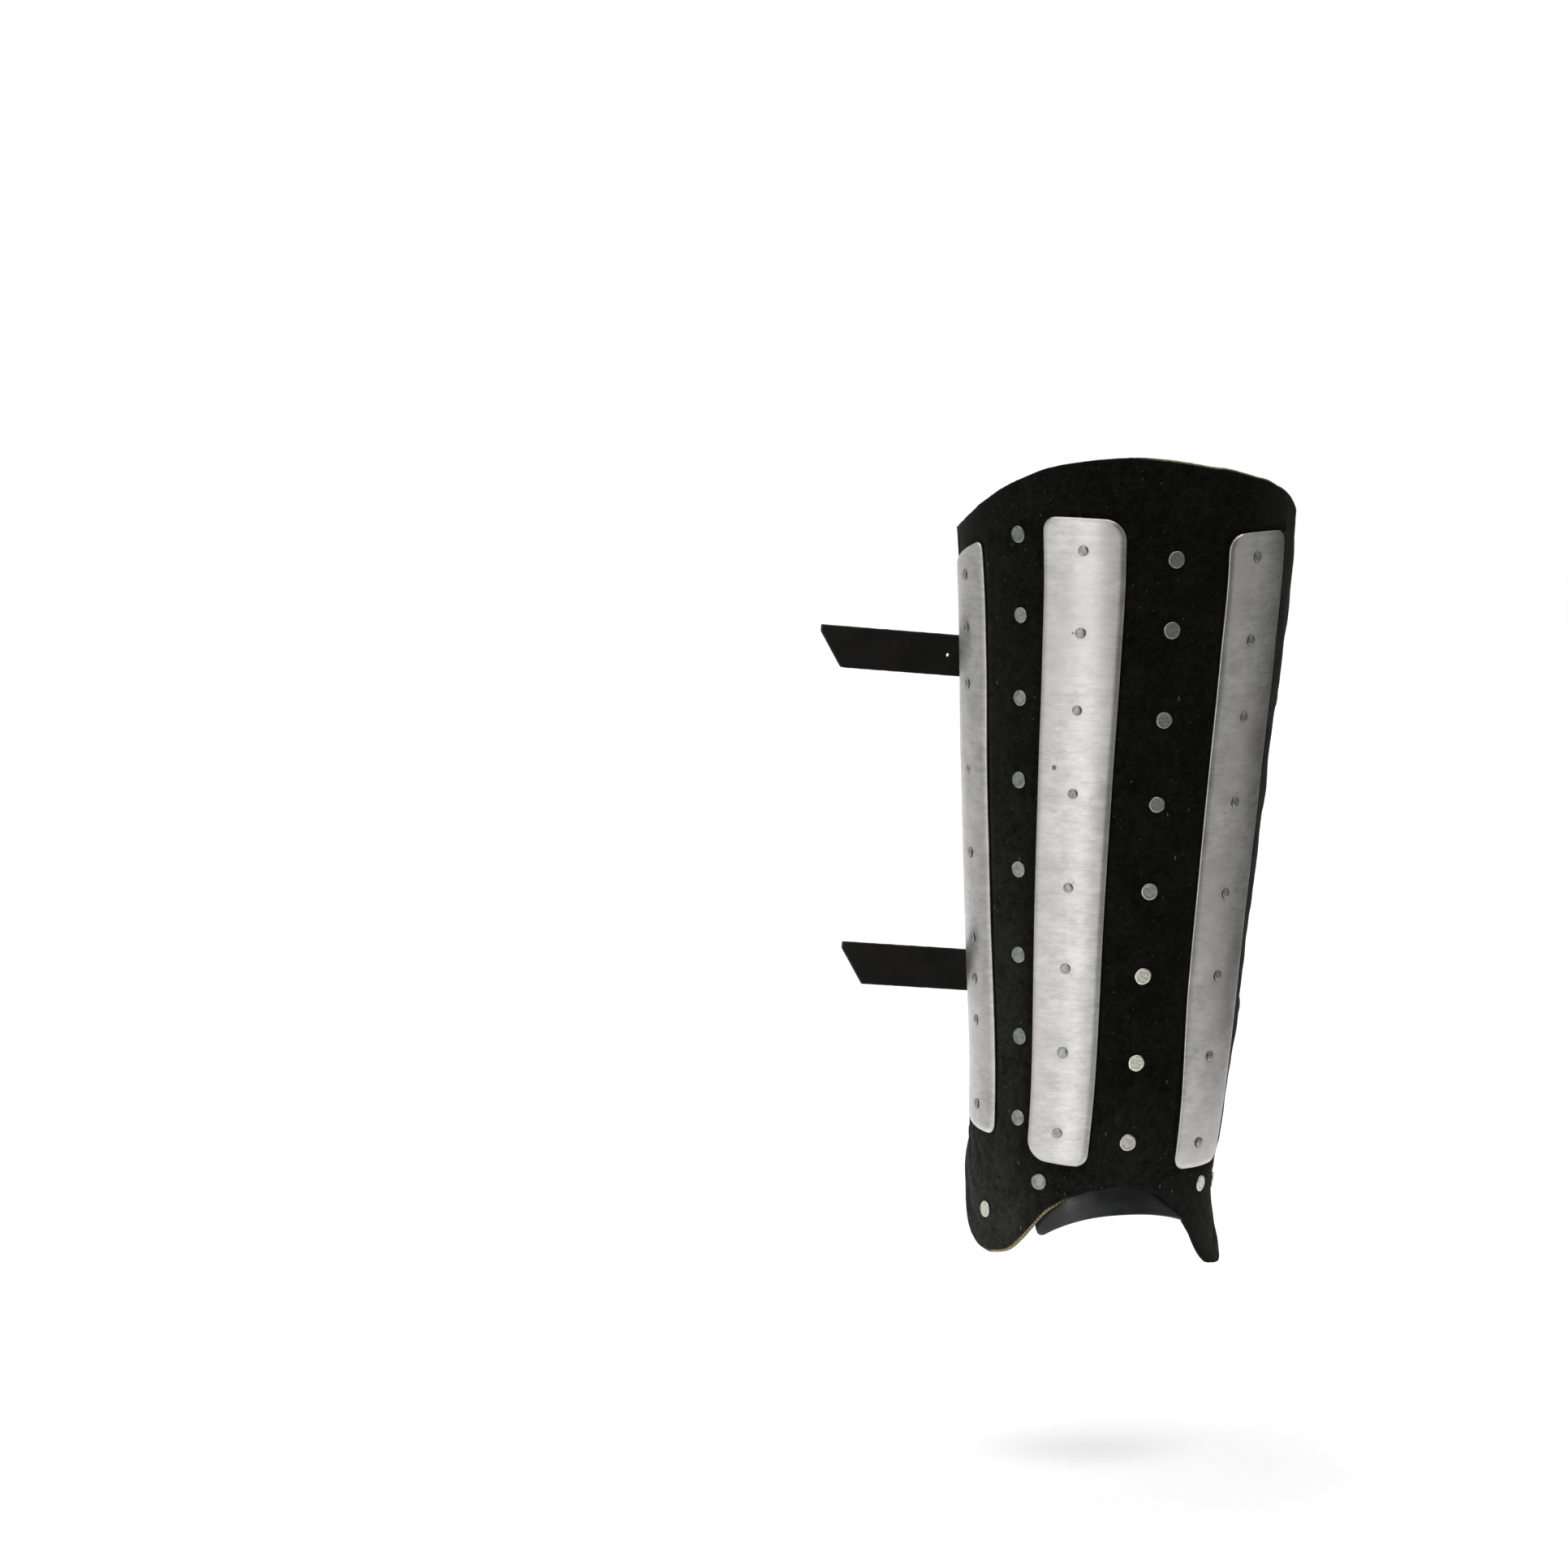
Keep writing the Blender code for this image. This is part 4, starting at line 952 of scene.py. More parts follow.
def make_rivet(node, large, depth, material, seed):
    """Rivet turned from its profile and set along the wall's normal. Outside is its head, a
    little tilted and dented, and inside a peened tail. Each rivet's texture is shifted."""
    random = np.random.default_rng(seed)
    head = (LEATHER_HEAD_RADIUS if large else SPLINT_HEAD_RADIUS)
    head *= random.uniform(HEAD_SMALLEST, 1.0)
    rise = LEATHER_HEAD_HEIGHT if large else SPLINT_HEAD_HEIGHT
    shank = LEATHER_SHANK_RADIUS if large else SPLINT_SHANK_RADIUS
    face = LEATHER_HEAD_GAP if large else SPLINT_SEAT + SPLINT_THICKNESS
    top = LARGE_HEAD if large else SMALL_HEAD
    profile = [(radius * head, face + share * rise) for radius, share in top]
    profile += [(HEAD_NECK * head, face), (shank, face), (shank, depth)]
    for core, over, share in PEENED_TAIL:
        profile.append((core * shank + over * TAIL_OVERHANG, depth - share * TAIL_HEIGHT))
    points, faces = turned(profile, RIVET_STEPS, RIVET_WOBBLE, seed)
    on_head = points[:, 2] > face
    tilt = random.uniform(-HEAD_TILT, HEAD_TILT, 2)
    points[:, 2] += on_head * (points[:, :2] @ tilt)
    points[:, 2] += on_head * uneven(points[:, :2], ((*HEAD_DENT, seed),))
    angle, height = RIVET_PLACES[node]
    seat = 0.0
    if large:
        seat = float(wall_relief(angle, height, skin(angle, height))) + RIVET_BED
    origin, normal = skin(angle, height, seat), skin_normal(angle, height)
    side = unit(np.cross((0, 0, 1.0), normal))
    axes = np.stack([side, np.cross(normal, side), normal])
    # Points just under the head's rim, which get painted shadow.
    under_rim = np.abs(points[:, 2] - face) < UNDER_RIM * rise
    clean = CLEAN_RIVETS.get(node, CLEAN_MOST * random.uniform(0, 1))
    marks = {
        "edge": np.hypot(points[:, 0], points[:, 1]) / head,
        "low": under_rim.astype(float),
        "clean": np.full(len(points), clean),
    }
    uv = points[:, :2] + UV_SHIFT * seed
    made = origin + points @ axes
    make_object(f"{node}_head", made, faces, uv, marks, material, "rivet_steel", [node])


def make_instep(material):
    """Crescent behind the arch: its lower edge is a low parabola that shows below the arch,
    and its top edge is level. It bows out a little between its rivets."""
    angle = np.linspace(INSTEP_INNER_ANGLE, INSTEP_OUTER_ANGLE, INSTEP_COLUMNS + 1)
    reach = np.where(
        angle < INSTEP_APEX_ANGLE,
        INSTEP_APEX_ANGLE - INSTEP_INNER_ANGLE,
        INSTEP_OUTER_ANGLE - INSTEP_APEX_ANGLE,
    )
    share = (angle - INSTEP_APEX_ANGLE) / reach
    low = ARCH_TOP - INSTEP_SHOW - INSTEP_END_DROP * share**2
    to_end = np.minimum(angle - INSTEP_INNER_ANGLE, INSTEP_OUTER_ANGLE - angle)
    low = low + corner_fall(np.radians(to_end) * ANKLE_HALF_WIDTH, INSTEP_CORNER_RADIUS)
    rise = np.linspace(0, 1, INSTEP_ROWS + 1)
    height = low[:, None] + (ARCH_TOP + INSTEP_OVERLAP - low)[:, None] * rise
    angle = np.broadcast_to(angle[:, None], height.shape)
    level = -(WALL_THICKNESS + INSTEP_GAP + INSTEP_PLAY)
    points = skin(angle, height)
    inwards = 1 - share[:, None] ** 2
    bow = -INSTEP_BOW * np.sin(np.pi * rise) ** 2 * inwards
    bow = bow + uneven(points, INSTEP_EDGE_RIPPLES) * (1 - rise) ** 2
    bow = bow + INSTEP_FLARE * inwards * (1 - rise) ** INSTEP_FLARE_POWER
    out = level + bow + uneven(points, INSTEP_RIPPLES)
    run = np.radians(angle) * section(height)[0]
    wall = closed_wall(
        skin(angle, height, out),
        skin_normal(angle, height),
        INSTEP_THICKNESS - 2 * INSTEP_PLAY,
        INSTEP_RIM_BULGE,
        np.stack([run, height], -1),
        {},
    )
    make_object("instep_leather", *wall, material, "smooth_leather", ["instep_crescent"])


def buckle_axes(height):
    """(origin, forward, outward, across) at the buckle's bar. The origin is on the leg, forward
    is the way the strap's end goes, rising by TAIL_RISE_ANGLE, and across points up."""
    points = skin(np.array([BUCKLE_ANGLE, BUCKLE_ANGLE + 1.0]), height, -STRAP_BED)
    flat = points[1] - points[0]
    flat[2] = 0
    flat /= np.linalg.norm(flat)
    rise = math.radians(TAIL_RISE_ANGLE)
    forward = flat * math.cos(rise) + np.array([0, 0, math.sin(rise)])
    outward = np.array([-flat[1], flat[0], 0])
    if outward @ skin_normal(BUCKLE_ANGLE, height) < 0:
        outward = -outward
    across = np.cross(outward, forward)
    across = across if across[2] > 0 else -across
    return points[0], forward, outward, across


def at_buckle(axes, along, level, aside=0.0):
    """Points this far along the strap's end, this far out and this far across from the bar."""
    origin, forward, outward, across = axes
    along, level, aside = (
        value[..., None] for value in np.broadcast_arrays(along, level, aside)
    )
    return origin + along * forward + level * outward + aside * across


def beside_leg(axes, along, level):
    """Points this far along the strap's end and this far out from the leg, whose surface falls
    away from the buckle's plane as a circle does."""
    radius = BACK_DEPTH * section(axes[0][2])[0]
    along = np.asarray(along, float)
    return at_buckle(axes, along, level - along**2 / (2 * radius))


def runs(points):
    """Distance of each point of a path from its first one."""
    return np.concatenate([[0], np.cumsum(np.linalg.norm(np.diff(points, axis=0), axis=1))])


def route(points, normals):
    """Function of the distance along a path through the points, and the path's length. The
    path is made of cubics whose slopes at each point are the mean of those beside it. The
    function gives place, direction along, outward normal and direction across."""
    run = runs(points)
    slope = np.gradient(points, run, axis=0)

    def at(distance):
        """Place, direction along, outward normal and direction across at this distance."""
        k = np.clip(np.searchsorted(run, distance) - 1, 0, len(run) - 2)
        step = (run[k + 1] - run[k])[..., None]
        t = (distance - run[k])[..., None] / step
        p, q, m, n = points[k], points[k + 1], slope[k] * step, slope[k + 1] * step
        place = (p * (1 + 2 * t) * (1 - t) ** 2 + q * t * t * (3 - 2 * t)
                 + m * t * (1 - t) ** 2 - n * t * t * (1 - t))
        along = unit(6 * t * (t - 1) * (p - q) + m * (1 - t) * (1 - 3 * t) + n * t * (3 * t - 2))
        guide = normals[k] * (1 - t) + normals[k + 1] * t
        across = unit(np.cross(guide, along))
        across = across * np.where(across[..., 2:] < 0, -1, 1)
        normal = unit(np.cross(along, across))
        normal = normal * np.sign((normal * guide).sum(-1, keepdims=True))
        return place, along, normal, across

    return at, run[-1]


def pierce(along, across, holes):
    """Grid of places across a strip with its lines drawn round each hole, and the cells that
    stay. Near a hole a point moves from its own place to the hole's ellipse, the more the
    closer it is, counted in cells. holes: distance along, half length, half width."""
    keep = np.ones((along.shape[0] - 1, along.shape[1] - 1), bool)
    new_along, new_across = along.copy(), across.copy()
    middle = along.shape[1] // 2
    for centre, half_length, half_width in holes:
        row = int(np.argmin(np.abs(along[:, middle] - centre)))
        a = (np.arange(along.shape[0]) - row)[:, None]
        b = (np.arange(along.shape[1]) - middle)[None, :]
        ring = np.maximum(np.abs(a), np.abs(b))
        turn = np.arctan2(b, a)
        hole_along = centre + half_length * np.cos(turn)
        hole_across = half_width * np.sin(turn)
        share = np.clip((ring - HOLE_CELLS) / (SWAYED_CELLS - HOLE_CELLS), 0, 1)
        new_along = share * new_along + (1 - share) * hole_along
        new_across = share * new_across + (1 - share) * hole_across
        inside = (np.abs(a[:-1] + 0.5) < HOLE_CELLS) & (np.abs(b[:, :-1] + 0.5) < HOLE_CELLS)
        keep &= ~inside
    return new_along, new_across, keep


def make_strip(name, at, length, half, holes, tip, material, seed):
    """Strip of leather carried along a path: half its width is a function of the distance, its
    edges are a little uneven, and tip shortens its lower part at the end, in proportion to how
    far below the shoulder a place is."""
    rows = int(length / RIBBON_CELL)
    along, share = np.meshgrid(
        np.linspace(0, length, rows + 1), np.linspace(-1, 1, RIBBON_COLUMNS + 1), indexing="ij"
    )
    along, across, keep = pierce(along, share * half(along), holes)
    cut = tip * np.clip((TIP_SHOULDER - share) / (1 + TIP_SHOULDER), 0, 1)
    near_tip = np.clip((along - (length - TIP_LENGTH)) / TIP_LENGTH, 0, 1)
    place, _, normal, sideways = at(along - cut * near_tip)
    line = np.stack([along, RIBBON_SIDES_APART * np.sign(share)], -1)
    rough = uneven(line, ((*RIBBON_EDGE_WAVE, seed),))
    rough = rough * np.abs(share) ** RIBBON_EDGE_POWER * np.sign(share)
    long_wave, short_wave = RIBBON_WAVES
    relief = uneven(place, ((*long_wave, seed + 1), (*short_wave, seed)))
    face = place + sideways * (across + rough)[..., None]
    face = face + normal * (STRAP_THICKNESS / 2 + relief)[..., None]
    uv = np.stack([along, across], -1)
    wall = closed_wall(face, normal, STRAP_THICKNESS, RIBBON_RIM_BULGE, uv, {}, keep)
    make_object(f"{name}_leather", *wall, material, "smooth_leather", [name])


def make_strap(name, rivet_height, buckle_height, length, holes, material):
    """Strap from inside the wall's outer edge, round the calf, under the buckle's far bar,
    over its near bar and straight on to the tip."""
    axes = buckle_axes(buckle_height)
    lift, radius = LIFT_SHARE * BUCKLE_LENGTH, section(buckle_height)[0]
    lift_angle = BUCKLE_ANGLE - math.degrees(lift / radius)
    angle = np.linspace(STRAP_START_ANGLE, lift_angle, STRAP_STEPS + 1)
    last = beside_leg(axes, -lift, STRAP_LEVEL)[2]
    share = (angle - angle[0]) / (angle[-1] - angle[0])
    run = math.radians(angle[-1] - angle[0]) * radius
    end_rise = math.tan(math.radians(TAIL_RISE_ANGLE)) * run
    start_rise = 2 * (last - rivet_height) - end_rise
    height = rivet_height + start_rise * share + (end_rise - start_rise) * share**2 / 2
    risen = beside_leg(axes, -RISEN_SHARE * BUCKLE_LENGTH, STRAP_LEVEL + STRAP_THICKNESS)
    along, climbed = np.array(CLIMB).T
    along = np.concatenate([along * BUCKLE_LENGTH, [length / 2, length]])
    climbed = np.concatenate([climbed, [1.0, 1.0]])
    straight = at_buckle(axes, along, between((OVER_LEVEL, UNDER_LEVEL), climbed))
    points = np.concatenate([skin(angle, height, STRAP_LEVEL - STRAP_BED), risen[None], straight])
    beyond = np.tile(axes[2], (len(straight) + 1, 1))
    at, total = route(points, np.concatenate([skin_normal(angle, height), beyond]))
    bar = total - length - PRONG_HOLE_PLACE * BUCKLE_LENGTH
    pierced = [(bar, PRONG_SLOT_LENGTH / 2, PRONG_SLOT_WIDTH / 2)]
    pierced += [(bar + k * HOLE_PITCH, HOLE_RADIUS, HOLE_RADIUS) for k in range(1, holes + 1)]
    make_strip(f"{name}_strap", at, total, lambda distance: STRAP_WIDTH / 2, pierced, TIP_CUT,
               material, STRAP_SEED)


def make_tab(name, buckle_height, rivets, material):
    """Tab riveted inside the wall's inner side. It narrows, leaves the wall, goes round the
    calf to the buckle, wraps its bar and comes back under itself."""
    axes = buckle_axes(buckle_height)
    origin, forward, outward, _ = axes
    high, low = (RIVET_PLACES[rivet][1] for rivet in rivets)
    base_height = (high + low) / 2
    base_half = (high - low) / 2 + SPLINT_SHANK_RADIUS + TAB_BASE_MARGIN
    land = FOLD_LENGTH + TAB_LIFT
    land_angle = BUCKLE_ANGLE - 360
    land_angle += math.degrees(land / (BACK_DEPTH * section(buckle_height)[0]))
    land_height = beside_leg(axes, land, STRAP_LEVEL)[2]
    angle = np.linspace(TAB_START_ANGLE, land_angle, TAB_STEPS + 1)
    rivet_angle = SPLINTS[0][1][0]
    share = np.clip((rivet_angle - angle) / (rivet_angle - land_angle), -1, 1)
    height = base_height + (land_height - base_height) * share
    near, far = FOLD_LENGTH * np.array(FOLD_SHARES)
    under = beside_leg(
        axes,
        np.array([FOLD_LENGTH + FOLD_CLEARANCE, far, near]),
        np.array([FOLD_LEVEL, FOLD_LEVEL, FOLD_LEVEL + GAP]),
    )
    wrap = np.radians(np.linspace(WRAP_START, 360 - WRAP_START, 2 * WRAP_STEPS + 1))[:, None]
    radial = np.cos(wrap) * forward + np.sin(wrap) * outward
    round_bar = origin + BAR_LEVEL * outward + WRAP_RADIUS * radial
    back = beside_leg(axes, np.array([near, far, FOLD_LENGTH]), STRAP_LEVEL)
    points = np.concatenate([skin(angle, height, STRAP_LEVEL - STRAP_BED), under, round_bar, back])
    normals = np.concatenate([
        skin_normal(angle, height),
        np.tile(outward, (len(under), 1)),
        radial,
        np.tile(-outward, (len(back), 1)),
    ])
    run = runs(points)
    at_rivet = np.interp(-rivet_angle, -angle, run[: len(angle)])
    at, total = route(points, normals)
    slot = run[len(angle) + len(under) + int(TAB_SLOT_PLACE * len(wrap))]

    def half(distance):
        """Half the tab's width: it narrows smoothly beyond the rivets."""
        narrowed = ease(distance, at_rivet, at_rivet + TAB_NARROWING)
        return base_half + (TAB_WIDTH / 2 - base_half) * narrowed

    make_strip(f"{name}_tab", at, total, half, [(slot, TAB_SLOT_HALF, PRONG_SLOT_WIDTH / 2)],
               0.0, material, TAB_SEED)


def tube(points, radius, closed, first=0):
    """Points and faces of a round tube along a flat path. Its rings stand square to the path
    and radius is one number or one for each point. An open tube is capped. first is the number
    of its first point."""
    if closed:
        along = unit(np.roll(points, -1, axis=0) - np.roll(points, 1, axis=0))
    else:
        along = unit(np.gradient(points, axis=0))
    guide = unit(np.cross(along, np.roll(along, 3, axis=0)).sum(0))
    side = unit(np.cross(along, guide))
    up = np.cross(side, along)
    turn = np.linspace(0, 2 * np.pi, TUBE_SIDES, endpoint=False)[:, None]
    radius = np.broadcast_to(radius, len(points))[:, None, None]
    ring = side[:, None] * np.cos(turn) + up[:, None] * np.sin(turn)
    made = (points[:, None] + ring * radius).reshape(-1, 3)
    index = first + np.arange(len(made)).reshape(len(points), TUBE_SIDES)
    rows = np.concatenate([index, index[:1]]) if closed else index
    after = np.roll(rows, -1, axis=1)
    quads = np.stack([rows[:-1], rows[1:], after[1:], after[:-1]], -1).reshape(-1, 4)
    caps = [] if closed else [index[0].tolist(), index[-1][::-1].tolist()]
    return made, quads.tolist() + caps


def make_buckle(name, buckle_height, material):
    """Frame of round wire round a rectangle with quarter circles at its corners, its far bar
    raised over the strap, and a prong that loops round the near bar, rises through the strap
    and tapers to lie over the far bar."""
    axes = buckle_axes(buckle_height)
    half = STRAP_WIDTH / 2 + BUCKLE_SIDE_PLAY + BUCKLE_WIRE_RADIUS - BUCKLE_CORNER_RADIUS
    near, far = -BUCKLE_CORNER_RADIUS, BUCKLE_CORNER_RADIUS - BUCKLE_LENGTH
    corners = np.array([(far, half, 90), (far, -half, 180), (near, -half, 270), (near, half, 0)])
    turn = np.radians(corners[:, 2:] + np.linspace(0, 90, BUCKLE_CORNER_STEPS + 1))
    along = (corners[:, :1] + BUCKLE_CORNER_RADIUS * np.cos(turn)).ravel()
    aside = (corners[:, 1:2] + BUCKLE_CORNER_RADIUS * np.sin(turn)).ravel()
    level = between((FAR_BAR_LEVEL, BAR_LEVEL), -along / BUCKLE_LENGTH)
    wire, wire_faces = tube(at_buckle(axes, along, level, aside), BUCKLE_WIRE_RADIUS, True)
    loop = BUCKLE_WIRE_RADIUS + PRONG_LOOP_SHARE * PRONG_RADIUS
    turn = np.radians(np.linspace(*PRONG_LOOP))
    round_bar = at_buckle(axes, loop * np.cos(turn), BAR_LEVEL + loop * np.sin(turn))
    along, level = np.array(PRONG_RISE).T
    path = np.concatenate([round_bar, at_buckle(axes, along * BUCKLE_LENGTH, level)])
    at, total = route(path, np.tile(axes[3], (len(path), 1)))
    share = np.linspace(0, 1, PRONG_STEPS + 1)
    radius = PRONG_RADIUS * np.interp(share, *np.array(PRONG_TAPER).T)
    prong, prong_faces = tube(at(share * total)[0], radius, False, len(wire))
    points = np.concatenate([wire, prong])
    make_object(f"{name}_buckle_wire", points, wire_faces + prong_faces, points[:, [0, 2]], {},
                material, "rivet_steel", [f"{name}_buckle"])


class Nodes:
    """Makes and links the nodes of one tree."""

    def __init__(self, tree):
        """Takes the tree that the nodes go into."""
        self.tree = tree

    def node(self, kind, settings=None, **inputs):
        """New node with its settings, and each input a number, a colour or another output. An
        input is named by its label, or by an underscore and its number."""
        made = self.tree.nodes.new(kind)
        for name, value in (settings or {}).items():
            setattr(made, name, value)
        for name, value in inputs.items():
            key = int(name[1:]) if name[1:].isdigit() else name.replace("_", " ")
            target = made.inputs[key]
            if isinstance(value, bpy.types.NodeSocket):
                self.tree.links.new(value, target)
            else:
                target.default_value = value
        return made

    def math(self, operation, a, b):
        """Sum, product, largest or the like of two values."""
        return self.node("ShaderNodeMath", {"operation": operation}, _0=a, _1=b).outputs[0]

    def product(self, a, b):
        """First value times the second."""
        return self.math("MULTIPLY", a, b)

    def total(self, a, b):
        """First value plus the second."""
        return self.math("ADD", a, b)

    def blend(self, *pairs):
        """Sum of values, each times its share."""
        whole, *others = (self.product(value, share) for value, share in pairs)
        for other in others:
            whole = self.total(whole, other)
        return whole

    def span(self, value, low, high, to_low=0.0, to_high=1.0):
        """Value moved in a straight line from between low and high to between the other two,
        and held at those."""
        made = self.node("ShaderNodeMapRange", _0=value, _1=low, _2=high, _3=to_low, _4=to_high)
        return made.outputs["Result"]


class Finish(Nodes):
    """A material and the nodes that make it."""

    def __init__(self, name, colour, roughness, metallic=0.0):
        """New material whose shader has this colour, roughness and metal."""
        self.material = bpy.data.materials.new(name)
        self.material.use_nodes = True
        super().__init__(self.material.node_tree)
        self.shader = self.tree.nodes["Principled BSDF"]
        self.set("Base Color", (*colour, 1.0))
        self.set("Roughness", roughness)
        self.set("Metallic", metallic)

    def set(self, socket, value):
        """Gives the shader's own socket a value."""
        self.shader.inputs[socket].default_value = value

    def link(self, source, socket):
        """Leads an output to the shader's socket."""
        self.tree.links.new(source, self.shader.inputs[socket])

    def place(self):
        """Position in the object, in metres."""
        return self.node("ShaderNodeTexCoord").outputs["Object"]

    def surface(self):
        """Position on the surface, in metres along it."""
        return self.node("ShaderNodeUVMap", {"uv_map": "surface"}).outputs["UV"]

    def mark(self, name):
        """One of the values that the mesh carries."""
        return self.node("ShaderNodeAttribute", {"attribute_name": name}).outputs["Fac"]

    def stretched(self, vector, scale):
        """Position times a scale for each direction."""
        return self.node("ShaderNodeMapping", Vector=vector, Scale=scale).outputs["Vector"]

    def noise(self, vector, scale, detail=3.0, rough=0.5):
        """Cloudy noise of about this many patches a metre."""
        made = self.node(
            "ShaderNodeTexNoise", Vector=vector, Scale=scale, Detail=detail, Roughness=rough
        )
        return made.outputs["Fac"]

    def flecks(self, vector, scale, size):
        """1 in small dots, one in somewhat under half of the cells, and 0 elsewhere."""
        cells = self.node("ShaderNodeTexVoronoi", Vector=vector, Scale=scale)
        dot = self.span(cells.outputs["Distance"], size, FLECK_CORE * size)
        chance = self.node("ShaderNodeSeparateColor", Color=cells.outputs["Color"]).outputs[0]
        return self.product(dot, self.span(chance, *FLECK_CHANCE))

    def mix(self, share, a, b):
        """Colour this share of the way from the first to the second."""
        a, b = ((*colour, 1.0) if isinstance(colour, tuple) else colour for colour in (a, b))
        made = self.node("ShaderNodeMix", {"data_type": "RGBA"}, _0=share, _6=a, _7=b)
        return made.outputs[2]

    def relief(self, height, distance, strength):
        """Leans the shading as a surface of this height would, distance at its highest."""
        made = self.node("ShaderNodeBump", Height=height, Distance=distance, Strength=strength)
        self.link(made.outputs["Normal"], "Normal")


def suede_finish():
    """Black split leather: a deep nap whose shade is a blend of three noises, grey wear at the
    foot with painted sheen lightening the inner side, pale lint, and a cut edge that is tan where
    the dye has missed it, twisted like cord by the skiving knife."""
    finish = Finish("black_suede_nap", (0.006, 0.006, 0.005), 0.92)
    finish.set("Sheen Weight", 0.045)
    finish.set("Sheen Roughness", 0.42)
    finish.set("Sheen Tint", (0.85, 0.88, 0.82, 1.0))
    finish.set("Specular IOR Level", 0.04)
    place = finish.place()
    swirl = finish.node("ShaderNodeTexNoise", Vector=place, Scale=45.0, Detail=2.0)
    bent = finish.node("ShaderNodeVectorMath", {"operation": "MULTIPLY_ADD"},
                       _0=swirl.outputs["Color"], _1=(NAP_BEND,) * 3, _2=place).outputs[0]
    cloud = finish.noise(place, 55.0, 5.0, 0.62)
    nap = finish.noise(bent, 820.0, 5.0, 0.72)
    tufts = finish.noise(bent, 260.0, 3.0, 0.6)
    shade = finish.blend((cloud, 0.25), (nap, 0.45), (tufts, 0.30))
    colour = finish.mix(finish.span(shade, *NAP_BAND), DEEP_NAP, RAISED_NAP)
    foot = finish.mark("foot")
    # Worn grey nap at the foot, which on the inner side is painted sheen.
    worn = finish.product(foot, finish.span(shade, *WEAR_AND_SHEEN_BAND))
    colour = finish.mix(finish.product(worn, WEAR_AND_SHEEN_STRENGTH), colour, WORN_NAP_AND_SHEEN)
    dust = finish.product(finish.flecks(bent, 900.0, 0.22), finish.span(foot, *DUST_BAND))
    colour = finish.mix(dust, colour, DUST)
    for stretch, scale, size, strength, lint in LINT:
        dots = finish.flecks(finish.stretched(bent, stretch), scale, size)
        colour = finish.mix(finish.product(dots, strength), colour, lint)
    twist = finish.node("ShaderNodeTexWave", {"bands_direction": "DIAGONAL"},
                        Vector=finish.surface(), Scale=215.0, Distortion=3.0, Detail=2.0,
                        Detail_Scale=3.0).outputs["Fac"]
    cord = finish.mix(finish.span(twist, *CORD_BAND), *CORD_TAN)
    plain = finish.mix(finish.span(nap, *OLIVE_BAND), *OLIVE_TAN)
    tan, olive = finish.mark("tan"), finish.mark("olive")
    edge = finish.mix(olive, finish.mix(tan, DYED_EDGE, cord), plain)
    near = finish.total(finish.mark("hem"), finish.span(nap, *HEM_UNEVENNESS))
    low_band = finish.product(finish.span(near, *TAN_HEM_BAND), tan)
    top_band = finish.product(finish.span(near, *OLIVE_HEM_BAND), olive)
    cut = finish.math("MAXIMUM", finish.mark("rim"), finish.total(low_band, top_band))
    outer = finish.span(finish.mark("inside"), 1.0, 0.0)
    finish.link(finish.mix(finish.product(cut, outer), colour, edge), "Base Color")
    finish.link(finish.span(nap, *NAP_ROUGHNESS_BAND), "Roughness")
    finish.relief(finish.blend((nap, 0.55), (tufts, 0.9)), 0.00035, 0.9)
    return finish.material


